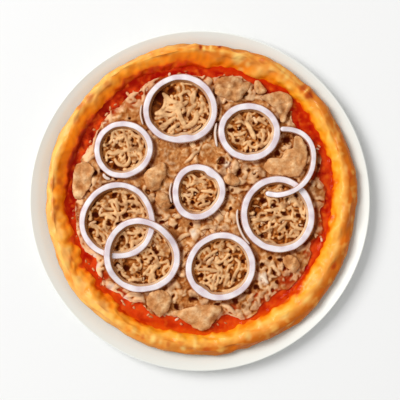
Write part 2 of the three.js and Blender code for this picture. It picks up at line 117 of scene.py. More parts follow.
def feed(tree, socket, value):
    """Wires another node's output into a socket, or sets the socket to a constant."""
    if isinstance(value, bpy.types.NodeSocket):
        tree.links.new(value, socket)
    else:
        socket.default_value = value


def add(tree, kind, settings=None, **sockets):
    """Adds a node. A socket's value is a constant, or another node's output."""
    node = tree.nodes.new(kind)
    for name, value in (settings or {}).items():
        setattr(node, name, value)
    for name, value in sockets.items():
        wanted = name.replace("_", " ")
        feed(tree, next(s for s in node.inputs if s.name == wanted and s.enabled), value)
    return node


def ramp(tree, factor, stops):
    """A colour ramp: stops are pairs of a place from 0 to 1 and a hex colour."""
    node = add(tree, "ShaderNodeValToRGB", Fac=factor)
    elements = node.color_ramp.elements
    elements[0].position, elements[0].color = stops[0][0], linear(stops[0][1])
    elements[1].position, elements[1].color = stops[-1][0], linear(stops[-1][1])
    for place, colour in stops[1:-1]:
        elements.new(place).color = linear(colour)
    return node.outputs["Color"]


def mix_colours(tree, factor, first, second, blend_type="MIX"):
    """Mixes two colours, given as hex values or as outputs."""
    node = add(tree, "ShaderNodeMix", {"data_type": "RGBA", "blend_type": blend_type})
    feed(tree, node.inputs[0], factor)
    for socket, value in ((node.inputs[6], first), (node.inputs[7], second)):
        feed(tree, socket, linear(value) if isinstance(value, str) else value)
    return node.outputs[2]


def attribute(tree, name):
    """Reads one of the piece's own point attributes."""
    return add(tree, "ShaderNodeAttribute", {"attribute_name": name}).outputs["Fac"]


def spread(tree, value, start, end):
    """0 where the value is at start, 1 where it is at end."""
    node = tree.nodes.new("ShaderNodeMapRange")
    tree.links.new(value, node.inputs["Value"])
    node.inputs["From Min"].default_value = start
    node.inputs["From Max"].default_value = end
    return node.outputs["Result"]


def stored(tree, name, start, end):
    """0 where one of the piece's point attributes is at start, 1 where it is at end."""
    return spread(tree, attribute(tree, name), start, end)


def maths(tree, operation, *values):
    """A product, a difference or the like of outputs and plain numbers."""
    node = add(tree, "ShaderNodeMath", {"operation": operation})
    for socket, value in zip(node.inputs, values):
        feed(tree, socket, value)
    return node.outputs[0]


def multiply(tree, first, second):
    """The product of two outputs."""
    return maths(tree, "MULTIPLY", first, second)


def noise_of(tree, size_mm, detail=3.0, roughness=0.5, stretch=(1, 1, 1)):
    """Noise on Object coordinates whose lumps are about size_mm across."""
    place = add(tree, "ShaderNodeTexCoord").outputs["Object"]
    scaled = add(tree, "ShaderNodeMapping", Vector=place, Scale=[s / (size_mm * MM) for s in stretch])
    return add(
        tree, "ShaderNodeTexNoise", Vector=scaled.outputs["Vector"], Scale=1.0, Detail=detail,
        Roughness=roughness,
    ).outputs["Fac"]


def new_material(name, **constants):
    """A material, its tree and its Principled shader, with constants set on the shader's sockets."""
    material = bpy.data.materials.new(name)
    material.use_nodes = True
    shader = material.node_tree.nodes["Principled BSDF"]
    for socket, value in constants.items():
        shader.inputs[socket.replace("_", " ")].default_value = value
    return material, material.node_tree, shader


def wire_bump(tree, shader, height, depth_mm, strength=1.0):
    """Adds relief that is too fine for the mesh."""
    bump = add(tree, "ShaderNodeBump", Height=height, Distance=depth_mm * MM, Strength=strength)
    tree.links.new(bump.outputs["Normal"], shader.inputs["Normal"])


# %% [markdown]
# Shape rules shared with the solids.
#
# The crust, sauce and tuna are uneven circles: a radius plus a few waves round the edge. The
# same waves with the same seeds were used for the solids, so the fine meshes follow them.

# %% Waves round a circle
TURN = 2 * math.pi
WORD = 0xFFFFFFFF
PIZZA_MIDDLE = (1.4, 2.0)
SAUCE_RADIUS = 127.6


def repeatable(seed):
    """A source of numbers from 0 to 1 that gives the same ones on every run."""
    state = seed

    def draw():
        nonlocal state
        state = (state + 0x6D2B79F5) & WORD
        mixed = ((state ^ (state >> 15)) * (1 | state)) & WORD
        mixed = ((mixed + (mixed ^ (mixed >> 7)) * (61 | mixed)) & WORD) ^ mixed
        return ((mixed ^ (mixed >> 14)) & WORD) / 2**32

    return draw


def wobble(seed, waves):
    """An uneven line round a circle, between about -1 and 1."""
    draw = repeatable(seed)
    phases = [draw() * TURN for _ in waves]

    def line(angle):
        total = sum(np.cos(count * angle + phase) for count, phase in zip(waves, phases))
        return total / math.sqrt(len(waves))

    return line


def rise(start, end, value):
    """0 up to start, 1 from end on, and a smooth step between."""
    share = np.clip((value - start) / (end - start), 0, 1)
    return share * share * (3 - 2 * share)


def even_angles(count):
    """Angles evenly spaced round a circle."""
    return np.arange(count) / count * TURN


def turned_from(angle, direction):
    """How far an angle is turned from a direction in degrees, at most half a circle."""
    return np.angle(np.exp(1j * (angle - math.radians(direction))))


def facing(angle, direction):
    """1 in a direction given in degrees, 0 on the opposite side."""
    return 0.5 + 0.5 * np.cos(angle - math.radians(direction))


def soft_bump(angle, direction, half_width):
    """1 in a direction, falling to 0 on both sides of it; both are in degrees."""
    return np.exp(-((turned_from(angle, direction) / math.radians(half_width)) ** 2))


def bumps_round(angle, places):
    """Adds up soft bumps round a circle, each a direction, a half width and a size."""
    total = np.zeros_like(angle)
    for direction, half_width, size in places:
        total += size * soft_bump(angle, direction, half_width)
    return total


inner_wobble = wobble(11, [7, 11, 16])
tuna_wobble = wobble(23, [3, 5, 8, 13])
outline_wobble = wobble(31, [4, 7, 12])
crest_wobble = wobble(37, [5, 9, 14, 21])
puff_wobble = wobble(41, [6, 11, 17, 26])
crease_wobble = wobble(43, [8, 15, 23])


def sauce_radius(angle):
    """Where the sauce meets the crust's inner slope."""
    wide_side = 4.4 * np.cos(angle - math.radians(127))
    oval = 1.7 * np.cos(2 * angle - math.radians(145))
    three_sided = 1.2 * np.cos(3 * angle - math.radians(86))
    return SAUCE_RADIUS + wide_side + oval + three_sided + 0.7 * inner_wobble(angle)


def tuna_radius(angle):
    """Where the layer of fish ends."""
    return np.minimum(117.5 + 3.4 * tuna_wobble(angle), sauce_radius(angle) - 4)


print("sauce radius to the right:", round(float(sauce_radius(0.0)), 1), "mm")

# %% Heights of the layers
GAP = 0.35
REST_GAP = 0.45
WELL_HEIGHT = 6.0
WELL_RADIUS = 133.0
CRUST_BOTTOM = WELL_HEIGHT + 0.4
CRUST_RADIUS = 146.2
DOUGH_TOP = 12.0
RIM_TOP = 23.0
SAUCE_BOTTOM = DOUGH_TOP + GAP
SAUCE_TOP = SAUCE_BOTTOM + 1.6
TUNA_BOTTOM = SAUCE_TOP + GAP
TUNA_THICKNESS = 3.3
TUNA_EDGE = 1.0


def polar(radius, angle):
    """X and Y of a place given from the middle of the pizza."""
    return PIZZA_MIDDLE[0] + radius * np.cos(angle), PIZZA_MIDDLE[1] + radius * np.sin(angle)


def support_height(x, y):
    """The bare tuna layer's height, which every topping lies on."""
    dx, dy = x - PIZZA_MIDDLE[0], y - PIZZA_MIDDLE[1]
    inside = tuna_radius(np.arctan2(dy, dx)) - np.hypot(dx, dy)
    swell = 0.5 * np.sin(dx / 17 + 1.1) * np.sin(dy / 15 + 0.4)
    full = TUNA_THICKNESS + swell - TUNA_EDGE
    return TUNA_BOTTOM + TUNA_EDGE + full * rise(-1, 13, inside)


print("sauce top", SAUCE_TOP, "mm, tuna in the middle", round(float(support_height(0.0, 0.0)), 2), "mm")

# %% [markdown]
# Noise in numpy.
#
# Blender's noise textures shade a surface, but a crust or a bed of fish needs noise that moves
# the points themselves. Gradient noise gives soft lumps. Where it crosses zero it gives long
# bent lines, and those become creases between flakes.


# %% Gradient noise
def scramble(*numbers):
    """Whole-number arrays mixed into repeatable numbers from 0 to 1."""
    mixed = np.zeros_like(numbers[0], dtype=np.uint64)
    for number, prime in zip(numbers, (73856093, 19349663, 83492791, 2654435761)):
        mixed ^= (np.asarray(number).astype(np.int64).astype(np.uint64)) * np.uint64(prime)
    mixed ^= mixed >> np.uint64(13)
    mixed *= np.uint64(0x9E3779B97F4A7C15)
    mixed ^= mixed >> np.uint64(29)
    mixed *= np.uint64(0xBF58476D1CE4E5B9)
    mixed ^= mixed >> np.uint64(32)
    return (mixed & np.uint64(0xFFFFFF)).astype(float) / 0x1000000


def noise(x, y, z=0.0, seed=1):
    """Gradient noise between about -1 and 1, with lumps one unit across."""
    x, y, z = np.broadcast_arrays(np.asarray(x, float), y, z)
    cell = [np.floor(v).astype(np.int64) for v in (x, y, z)]
    part = [v - c for v, c in zip((x, y, z), cell)]
    fade = [p * p * p * (p * (p * 6 - 15) + 10) for p in part]
    total = np.zeros_like(x)
    for corner in range(8):
        step = [(corner >> axis) & 1 for axis in range(3)]
        place = [c + s for c, s in zip(cell, step)]
        turn = TURN * scramble(*place, np.full_like(place[0], seed))
        tilt = 2 * scramble(*place, np.full_like(place[0], seed + 7919)) - 1
        flat = np.sqrt(1 - tilt * tilt)
        lean = (
            (part[0] - step[0]) * flat * np.cos(turn)
            + (part[1] - step[1]) * flat * np.sin(turn)
            + (part[2] - step[2]) * tilt
        )
        weight = np.ones_like(x)
        for axis in range(3):
            weight = weight * (fade[axis] if step[axis] else 1 - fade[axis])
        total += weight * lean
    return 1.6 * total


def layered_noise(x, y, z=0.0, seed=1, layers=3):
    """Several sizes of noise on top of each other, each half as large and half as strong."""
    return sum(
        0.5**layer * noise(x * 2**layer, y * 2**layer, np.asarray(z) * 2**layer, seed + layer)
        for layer in range(layers)
    )


sample = noise(np.arange(2000) * 0.37, np.arange(2000) * 0.11)
print("noise runs from", round(sample.min(), 2), "to", round(sample.max(), 2))

# %% [markdown]
# Meshes from rows of points.
#
# Everything here is a loop or a grid that closes on itself: a plate, a crust, a ring. So one
# function turns rows of points into faces. Rows run out along the bottom, up the side and back
# over the top, which makes every face point outwards.


# %% Mesh makers
def make_piece(name, points_mm, faces, attributes=None):
    """A mesh object from points in millimetres, with its place in the mesh."""
    mesh = bpy.data.meshes.new(name)
    mesh.from_pydata((np.asarray(points_mm, float) * MM).tolist(), [], faces)
    for key, values in (attributes or {}).items():
        layer = mesh.attributes.new(key, "FLOAT", "POINT")
        layer.data.foreach_set("value", np.asarray(values, np.float32))
    mesh.polygons.foreach_set("use_smooth", [True] * len(mesh.polygons))
    mesh.update()
    piece = bpy.data.objects.new(name, mesh)
    bpy.context.scene.collection.objects.link(piece)
    return piece


def quads(rows, columns, close_rows=False):
    """Corner numbers of the faces between rows of points that run round a loop."""
    row = np.arange(rows if close_rows else rows - 1)[:, None]
    column = np.arange(columns)[None, :]
    next_row, next_column = (row + 1) % rows, (column + 1) % columns
    corners = [row * columns + column, row * columns + next_column]
    corners += [next_row * columns + next_column, next_row * columns + column]
    return np.stack([np.broadcast_to(c, corners[0].shape) for c in corners], -1).reshape(-1, 4).tolist()


def turned_shell(name, first, rows, last, attributes=None):
    """A closed body from a middle point, rows of points round it and a last middle point."""
    count, columns, _ = rows.shape
    points = np.concatenate([rows.reshape(-1, 3), [first, last]])
    faces = quads(count, columns)
    start, end, top = count * columns, count * columns + 1, (count - 1) * columns
    for column in range(columns):
        following = (column + 1) % columns
        faces.append([start, following, column])
        faces.append([top + column, top + following, end])
    full = {}
    for key, values in (attributes or {}).items():
        full[key] = np.concatenate([values.reshape(-1), [values[0].mean(), values[-1].mean()]])
    return make_piece(name, points, faces, full)


def curve_between(p0, p1, p2, p3, t):
    """A Catmull-Rom curve from p1 at t = 0 to p2 at t = 1; p0 and p3 bend its ends."""
    square = (2 * p0 - 5 * p1 + 4 * p2 - p3) * t**2
    cube = (3 * p1 - p0 - 3 * p2 + p3) * t**3
    return 0.5 * (2 * p1 + (p2 - p0) * t + square + cube)


def smooth_rows(rows, count):
    """Smooth curves through rows of points, resampled to count rows."""
    last = len(rows) - 1
    at = np.linspace(0, last, count)
    base = np.clip(np.floor(at).astype(int), 0, last - 1)
    before, after = np.maximum(base - 1, 0), np.minimum(base + 2, last)
    return curve_between(rows[before], rows[base], rows[base + 1], rows[after], (at - base)[:, None, None])


def finish_piece(piece, material, slot, *nodes):
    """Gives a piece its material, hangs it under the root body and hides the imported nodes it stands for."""
    piece.data.materials.clear()
    piece.data.materials.append(material)
    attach(piece, "root")
    if nodes:
        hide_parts(*nodes)
    print(piece.name, len(piece.data.polygons), "faces")


# %% [markdown]
# The plate.
#
# A coupe plate of glazed porcelain: a flat well, a short curved rim, a ring-shaped foot. On a
# potter's wheel it is one profile turned round, and so it is here. A few corner points with a
# smooth curve through them give the rim its soft lip.

# %% Plate shape
PLATE_COLUMNS = 240
FOOT_INNER = 92.0
FOOT_OUTER = 98.0
plate_profile = [
    # radius and height, from the middle of the underside out over the lip and back in
    (40, 3.0), (FOOT_INNER - 1.5, 3.0), (FOOT_INNER - 0.6, 1.6), (FOOT_INNER + 0.4, 0.15),
    (FOOT_INNER + 1.2, 0.0), (FOOT_OUTER - 1.2, 0.0), (FOOT_OUTER - 0.3, 0.2),
    (FOOT_OUTER + 2, 2.4), (WELL_RADIUS, 3.2), (PLATE_RADIUS - 10, 6.8),
    (PLATE_RADIUS - 2.2, PLATE_HEIGHT - 4.2), (PLATE_RADIUS - 0.15, PLATE_HEIGHT - 1.5),
    (PLATE_RADIUS - 0.3, PLATE_HEIGHT - 0.6), (PLATE_RADIUS - 1.0, PLATE_HEIGHT - 0.15),
    (PLATE_RADIUS - 2.6, PLATE_HEIGHT - 0.9), (PLATE_RADIUS - 7, PLATE_HEIGHT - 3.2),
    (PLATE_RADIUS - 12, WELL_HEIGHT + 3.4), (WELL_RADIUS + 10, WELL_HEIGHT + 1.3),
    (WELL_RADIUS + 5, WELL_HEIGHT + 0.3), (WELL_RADIUS - 3, WELL_HEIGHT), (WELL_RADIUS - 30, WELL_HEIGHT),
    (30, WELL_HEIGHT),
]
angles = even_angles(PLATE_COLUMNS)
profile = smooth_rows(np.array(plate_profile, float)[:, None, :], 110)[:, 0, :]
reach, height = profile[:, :1], np.maximum(profile[:, 1:], 0)
plate_rows = np.stack(
    [reach * np.cos(angles), reach * np.sin(angles), height * np.ones_like(angles)], -1
)
plate = turned_shell("plate_glazed", (0, 0, 3.0), plate_rows, (0, 0, WELL_HEIGHT))

# %% [markdown]
# Its finish: porcelain glaze is glass melted on a white body, so the colour is plain. A soft
# waviness is left by the glaze as it ran, and under a broad light its gloss looks satin.

# %% Plate glaze
glaze, tree, shader = new_material(
    "porcelain_glaze", Diffuse_Roughness=1.0, Roughness=0.4, IOR=1.5, Coat_Weight=0.08, Coat_Roughness=0.15
)
glaze_colour = mix_colours(tree, noise_of(tree, 60, detail=1.0), "ECEDE7", "F0F1EC")
tree.links.new(glaze_colour, shader.inputs["Base Color"])
wire_bump(tree, shader, noise_of(tree, 30, detail=0.0), 0.25, 0.3)
finish_piece(plate, glaze, "plate_glaze", "plate")

# %% [markdown]
# The crust.
#
# Bread dough puffs unevenly in the oven: the rim swells between the places that were pinched,
# the skin wrinkles along the rim and blisters where gas sat under it. The solid has the swells.
# The fine mesh starts from the same rows, rounds them with a curve, then adds lumps of several
# sizes along the outward direction, stretched round the rim as a rolled edge stretches them.
# What has a place of its own is listed by direction: blisters, toasted spots, painted highlight
# spots, knobs and tongues of dough, and how far sauce is smeared up them.

# %% Crust shape
CRUST_COLUMNS = 840
CRUST_ROWS = 84
FOOT_UNDER_SAUCE = 1.4
INNER_REACH = 132.0
MIDDLE_REACH = 140
BLISTERS = [
    # direction in degrees, share from inner foot to outside, size and height in mm
    (45.5, 0.82, 7.0, 1.5), (62, 0.45, 7.0, 0.9), (20, 0.5, 9.0, 1.0), (152, 0.62, 8.0, 0.8),
    (205, 0.5, 9.0, 1.0), (232, 0.4, 8.0, 0.9), (262, 0.5, 9.0, 1.0), (287, 0.4, 10.0, 1.0),
    (315, 0.45, 10.0, 1.0), (338, 0.4, 9.0, 0.9), (352, 0.65, 7.0, 0.8), (92, 0.8, 6.0, 1.2),
]
TOASTED = [
    # red-brown spots: direction in degrees, radius, half length and half width in mm, strength
    (43.8, 139.8, 6, 7, 0.74), (47.6, 140.5, 4.8, 6.4, 0.62), (66.5, 141, 5, 3.5, 0.4),
    (83.2, 143.5, 3.5, 3, 0.8), (90.3, 142, 2.4, 4, 0.8), (87, 146, 7, 2, 0.6), (9, 141, 8, 3, 0.5),
    (1, 140, 6, 2.5, 0.3), (129, 138.5, 6, 4.5, 0.45), (138, 141, 7, 5, 0.5), (142.5, 143, 7, 4, 0.5),
    (148, 137.5, 6, 4, 0.4), (174, 140, 9, 4, 0.45), (187, 139, 9, 3.2, 0.4), (181, 138.5, 8, 3, 0.35),
    (205, 135, 5, 3.5, 0.3), (272, 141, 6, 4, 0.5), (262, 136.5, 5, 3, 0.3), (333, 139.5, 6, 3, 0.7),
    (322, 142, 7, 2.5, 0.3), (345, 141, 9, 2.5, 0.3), (257, 140, 2.6, 4, 0.35), (247, 140, 2.6, 4, 0.35),
    (173, 134.5, 6, 4.5, 0.5), (183.5, 135.6, 5, 4.5, 0.4), (147.6, 139, 5, 4, 0.4),
    (141.3, 142, 4, 3.5, 0.35),
]
PAINTED_HIGHLIGHTS = [
    # painted highlights: direction in degrees, radius, half length and half width in mm, strength
    (45.9, 140, 1.6, 4, 0.8), (55, 139, 3.6, 6, 0.6), (57.5, 141, 2.6, 5, 0.5), (61.7, 138, 5, 4, 0.6),
    (66, 133, 5, 4, 0.4), (71, 133, 4, 4, 0.6), (75.5, 137, 9, 8, 1), (73, 127, 5, 3.5, 0.5),
    (86.5, 142, 2, 5, 0.9), (89, 141, 2, 5, 0.9), (82, 138, 4, 4, 0.3), (243, 139, 4, 5, 0.6),
    (251, 138.5, 4, 7, 0.9), (254, 139, 2.6, 4, 0.5), (263, 141, 4, 4, 0.8), (267.5, 135, 3.2, 9, 0.8),
    (279, 134, 6, 4, 0.4), (289, 136, 4.5, 6, 0.6), (295, 129, 4, 7, 0.7), (305, 135, 8, 4, 0.6),
    (316, 136, 10, 3, 0.6), (325, 135, 8, 3, 0.5), (340, 134, 11, 3.4, 0.5), (12, 138, 6, 3, 0.4),
    (4, 132, 8, 3, 0.3), (25, 133, 8, 3.5, 0.4), (36, 134, 6, 3.5, 0.4), (52, 133, 5, 4, 0.4),
    (125, 143, 9, 3, 0.5), (133, 141, 8, 3, 0.5), (150, 141, 11, 3, 0.6), (160, 141.5, 11, 3, 0.6),
    (171, 142, 8, 3, 0.6), (177, 142.5, 5, 1.8, 0.7), (181, 141.5, 5, 1.8, 0.8), (186, 141, 4, 1.8, 0.7),
    (192, 141, 6, 2.2, 0.6), (199, 140, 5, 3, 0.6), (206, 141, 6, 3, 0.5), (214, 140, 5, 3, 0.6),
    (221, 139, 5, 3, 0.6), (229, 140, 5, 3, 0.6), (236, 139, 5, 3, 0.6),
]
KNOBS = [
    # dough knobs that hang in over the sauce, and the gaps between: direction, half width, reach in mm
    (193.5, 2.4, 4), (203, 2.8, 4.5), (215, 2.8, 5), (228, 3, 5), (252, 6, 1.6), (270, 6, 2),
    (286, 6, 1.8), (198, 1.8, -2.5), (209.5, 2, -2.5), (221, 1.8, -2.5), (235, 2.2, -3), (243.5, 3.5, -4),
    (56, 4, -1.5), (94, 8, -3.5), (31, 2.5, 1.5), (125, 3, -1.5), (18, 3, 1), (65, 3, 1.5), (88, 2.5, 3),
]
TONGUES = [
    # where dough runs in over the sauce: direction and half width in degrees, reach in mm
    (82, 30, 6), (152, 42, 5), (30, 14, 1.5), (290, 12, 1),
]
SMEARS = [
    # how far up the dough stays clean of sauce (positive) or is smeared (negative), in mm
    (78, 20, 9.5), (138, 14, 4.6), (170, 14, 1.6), (192, 12, 1.2), (30, 12, 2.6), (53, 12, 2),
    (315, 9, -4), (290, 10, 0.8), (240, 10, 0.8),
]
crust_section = [
    # share from inner foot to outside, height, how much it puffs, how much it creases
    (0.9, CRUST_BOTTOM + 3.2, 0, 0), (1.0, CRUST_BOTTOM + 7.0, 0.3, 0),
    (0.98, RIM_TOP - 6.6, 0.6, 0), (0.91, RIM_TOP - 3.4, 1.0, 0), (0.79, RIM_TOP - 1.1, 1.5, 0),
    (0.64, RIM_TOP, 1.5, 1.0), (0.49, RIM_TOP - 0.6, 1.4, 0.6), (0.34, RIM_TOP - 2.6, 1.0, 0),
    (0.19, RIM_TOP - 5.8, 0.6, 0), (0.07, DOUGH_TOP + 2.2, 0.2, 0),
]
angles = even_angles(CRUST_COLUMNS)
foot = sauce_radius(angles) - FOOT_UNDER_SAUCE
outside = CRUST_RADIUS + 0.9 * outline_wobble(angles) - 0.6 * np.sin(angles)
unevenness = 0.7 * noise(np.cos(angles) * 20, np.sin(angles) * 20, seed=14)
tongue = unevenness + bumps_round(angles, TONGUES)
smear = unevenness + bumps_round(angles, SMEARS + KNOBS) - 0.8
section = [(np.full_like(angles, INNER_REACH), np.full_like(angles, CRUST_BOTTOM))]
for row, (share, height, puff, crease) in enumerate(crust_section):
    slip = 0.9 * crest_wobble(angles + 0.4 * row) if 2 < row < 7 else 0
    lean = 1.3 * np.cos(angles - math.radians(150)) * math.sin(math.pi * min(share, 1.0))
    radius = foot + (outside - foot) * share + slip + lean - tongue * rise(0.5, 0.0, share)
    swell = puff * 0.8 * puff_wobble(angles + 0.05 * row)
    section.append((radius, height + swell - crease * 0.15 * np.maximum(0, crease_wobble(angles))))
section.append((foot - tongue, np.full_like(angles, DOUGH_TOP)))
rim = smooth_rows(np.stack([np.stack(pair, -1) for pair in section]), CRUST_ROWS)
print("crust between", round(float(foot.min()), 1), "and", round(float(outside.max()), 1), "mm")

# %% Crust relief
along = np.gradient(rim, axis=0)
outward = np.stack([along[..., 1], -along[..., 0]], -1)
outward /= np.maximum(np.linalg.norm(outward, axis=-1, keepdims=True), 1e-6)
rim_share = (rim[..., 0] - foot) / (outside - foot)
row_share = np.linspace(0, 1, CRUST_ROWS)[:, None]
ring_x, ring_y = MIDDLE_REACH * np.cos(angles), MIDDLE_REACH * np.sin(angles)
around = row_share * 60


def rim_noise(size_mm, depth_mm, seed):
    """Noise on the rim, with its size along the rim and across it."""
    return noise(ring_x / size_mm, ring_y / size_mm, around / depth_mm, seed=seed)


def fine_rim_noise(size_mm, depth_mm, seed):
    """The same in two sizes."""
    return layered_noise(ring_x / size_mm, ring_y / size_mm, around / depth_mm, seed=seed, layers=2)


def spots(places, uneven, full):
    """1 within the share full of each listed spot on the crust's upper side, 0 at its edge."""
    total = np.zeros_like(rim_share)
    for direction, radius, along_mm, across_mm, strength in places:
        turn = turned_from(angles, direction)
        away = np.hypot(turn * MIDDLE_REACH / along_mm, (rim[..., 0] - radius) / across_mm) * (1 + uneven)
        total = np.maximum(total, strength * rise(1.0, full, away))
    return total * (row_share > 0.2)


ridges = rim_noise(16, 5, 18)
lumps = rim_noise(22, 16, 5)
knobs = rim_noise(9, 11, 6)
bulges = rim_noise(12, 14, 17)
pebbles = rim_noise(6.5, 7.5, 19)
dimples = rim_noise(4.5, 5, 7)
grain = fine_rim_noise(2.4, 2.4, 8)
lumpy_side = np.minimum(bumps_round(angles, [(80, 26, 1.0), (218, 24, 0.3), (285, 14, 0.5)]), 1)
knobby_side = np.minimum(bumps_round(angles, [(188, 12, 0.7), (212, 18, 1.0), (232, 12, 0.6)]), 1)
free = rise(0.03, 0.14, row_share) * rise(1.0, 0.93, row_share)
inner_slope = rise(0.62, 0.3, rim_share)
relief = 0.9 * lumps + (0.8 + 0.7 * inner_slope) * knobs + (0.25 + 0.2 * inner_slope) * dimples + 0.05 * grain
relief = relief + 1.7 * lumpy_side * bulges + 0.2 * ridges + 1.3 * knobby_side * inner_slope * pebbles
large_knobs = [knob for knob in KNOBS if knob[2] > 2]
relief = relief + 0.4 * bumps_round(angles, large_knobs) * rise(0.5, 0.15, rim_share)
for direction, share, size, height in BLISTERS:
    turn = turned_from(angles, direction)
    away = np.hypot(turn * MIDDLE_REACH, (rim_share - share) * (outside - foot))
    bubble = np.where(rim[..., 1] > RIM_TOP - 9, np.exp(-((away / (0.55 * size)) ** 2)), 0)
    relief = relief + height * bubble
thin_skin = spots(PAINTED_HIGHLIGHTS, 0.3 * dimples, 0.0)
relief = relief + 0.15 * thin_skin
moved = rim + outward * (relief * free)[..., None]
moved[..., 1] = np.maximum(moved[..., 1], CRUST_BOTTOM - 0.02)
crust_x, crust_y = polar(moved[..., 0], angles)
crust_rows = np.stack([crust_x, crust_y, moved[..., 1]], -1)
print("relief of the crust from", round(float(relief.min()), 1), "to", round(float(relief.max()), 1), "mm")

# %% What is stored on the crust
patches = fine_rim_noise(13, 11, 9)
glow = fine_rim_noise(7, 8, 13)
from_sauce = moved[..., 0] - foot - 0.6 + smear + 1.4 * glow + 0.8 * patches + 1.6 * knobs
from_sauce = from_sauce + 3.0 * lumpy_side * bulges + 3.4 * knobby_side * pebbles
high_places = knobs + 0.6 * dimples + 0.7 * ridges + 1.3 * lumpy_side * bulges
# painted shade: the sides where the inner slope is turned from the light get the shaded copy of the colour
# ramp
deep_side = np.minimum(bumps_round(angles, [(160, 50, 1.0), (85, 26, 0.9), (225, 20, 0.5)]), 1)
# Some of these carry painted light and shade: the outer side turned from the light is to be painted brown,
# the sides where the inner slope is turned from the light get a shaded colour ramp and darker smeared sauce,
# the listed pale spots are painted highlights, and pale gold is kept off the inner slope on the shaded sides.
crust_marks = {
    "rim_share": rim_share + 0.05 * patches,
    "from_sauce": from_sauce,
    "toasted": 1.25 * spots(TOASTED, 0.3 * dimples, 0.25),
    "height": moved[..., 1] + 1.2 * patches,
    "patches": patches,
    "glow": glow,
    "browned_side": facing(angles, -25),
    "deep_side": deep_side,
    "dark_sauce": soft_bump(angles, 152, 34),
    "knobs": high_places + 1.2 * knobby_side * inner_slope * pebbles,
    "thin_skin": thin_skin,
    "paling": 1 - deep_side * (1 - rise(0.42, 0.68, rim_share)),
    "browned_at": rim_share + 0.05 * patches - bumps_round(angles, [(318, 32, 0.08)]),
    "top_side": soft_bump(angles, 80, 24),
}
crust = turned_shell(
    "crust_baked", (*PIZZA_MIDDLE, CRUST_BOTTOM), crust_rows, (*PIZZA_MIDDLE, DOUGH_TOP),
    {name: np.broadcast_to(values, rim_share.shape) for name, values in crust_marks.items()},
)

# %% [markdown]
# Its finish: a baked, oiled wheat crust. Oil and tomato colour its inner slope orange and the
# crest is pale gold. So one colour ramp runs across the rim, from the sauce to the outside, in a
# lit copy and a copy painted as shaded where the inner slope is turned from the light. The outer
# side turned from the light is painted brown as painted shade. Streaky patches, stored on the mesh
# because they follow the rim round, shift the ramp. Hollows are painted deeper orange as painted
# shade and knobs paler as painted highlight. Last come the listed places: painted highlight spots
# are pale, and toasted spots are red-brown.

# %% Crust finish
baked, tree, shader = new_material(
    "baked_wheat_crust", Roughness=0.45, IOR=1.45, Specular_IOR_Level=0.02, Coat_Weight=0.3,
    Coat_Roughness=0.2, Coat_IOR=1.46,
)
FOOT_TO_CREST = 12.0
across_foot = stored(tree, "from_sauce", 0.0, FOOT_TO_CREST)
# the ramp across the rim in a lit copy and a shaded copy, mixed by the side turned from the light
lit_foot = ramp(
    tree, across_foot,
    [(0.0, "DC4C00"), (0.1, "F07C08"), (0.26, "FAA01C"), (0.45, "FAAE30"), (0.7, "FAB044"), (1.0, "F4A042")],
)
shaded_foot = ramp(
    tree, across_foot,
    [(0.0, "E44C00"), (0.12, "F86C00"), (0.3, "FC7E00"), (0.58, "FC8404"), (0.78, "FEA034"),
     (0.96, "FFBE68")],
)
across_rim = mix_colours(tree, attribute(tree, "deep_side"), lit_foot, shaded_foot)
smeared = stored(tree, "from_sauce", 1.0, -1.6)
# painted shade: sauce smeared on the crust is painted darker towards the upper left
smear_red = mix_colours(tree, attribute(tree, "dark_sauce"), "D03400", "961A00")
across_rim = mix_colours(tree, smeared, across_rim, smear_red)
# painted shade: the outer side turned from the light, to the lower right, is painted brown
painted_shade_share = multiply(
    tree, stored(tree, "browned_side", 0.35, 0.8), stored(tree, "browned_at", 0.38, 0.66)
)
darkened = mix_colours(tree, painted_shade_share, across_rim, "C8660E")
patchy = multiply(tree, stored(tree, "patches", 0.1, 1.3), spread(tree, across_foot, 0.3, 0.8))
orange = mix_colours(tree, patchy, darkened, "E87408")
orange = mix_colours(tree, multiply(tree, attribute(tree, "top_side"), across_foot), orange, "D87418")
crest_share = stored(tree, "height", RIM_TOP - 6, RIM_TOP + 0.5)
undarkened = maths(tree, "SUBTRACT", 1.0, painted_shade_share)
# the crest's pale gold is left out where the crust is painted as shaded
golden = multiply(tree, stored(tree, "glow", -0.6, 1.0), multiply(tree, crest_share, undarkened))
golden = multiply(tree, golden, attribute(tree, "paling"))
golden = mix_colours(tree, golden, orange, "FFBE54")
# painted shade: hollows between knobs are painted deeper orange
hollow_share = multiply(tree, stored(tree, "knobs", 0.0, -1.8), spread(tree, across_foot, 1.25, 0.35))
hollowed = mix_colours(tree, hollow_share, golden, "E87000")
# painted highlight: raised knobs are painted paler, except on the shaded inner slope
raised_share = multiply(tree, stored(tree, "knobs", 0.2, 1.4), spread(tree, across_foot, 0.1, 0.4))
raised_share = multiply(tree, raised_share, attribute(tree, "paling"))
lightened = mix_colours(tree, raised_share, hollowed, mix_colours(tree, 0.6, hollowed, "FFCE68"))
# painted highlights: the listed spots are painted pale, as glossy highlights
highlight_colour = mix_colours(tree, 0.85, lightened, "FFD97C")
highlighted = mix_colours(tree, attribute(tree, "thin_skin"), lightened, highlight_colour)
toast = attribute(tree, "toasted")
toasted = mix_colours(tree, toast, highlighted, mix_colours(tree, toast, "D44A00", "A23200"))
low_side = stored(tree, "height", CRUST_BOTTOM + 11.0, CRUST_BOTTOM + 4.0)
outer_side = multiply(tree, low_side, stored(tree, "rim_share", 0.6, 0.9))
sided = mix_colours(tree, outer_side, toasted, "C4883E")
tree.links.new(sided, shader.inputs["Base Color"])
wire_bump(tree, shader, noise_of(tree, 2.2, detail=3.0, roughness=0.55), 0.18, 0.4)
finish_piece(crust, baked, "baked_crust", "crust")

# %% [markdown]
# The sauce.
#
# Crushed tomato spread over the dough shows as a wet ring between fish and crust. It is a thin
# sheet with small soft lumps of pulp, and it creeps a little up the crust, so its outer edge is
# sunk into the bread.

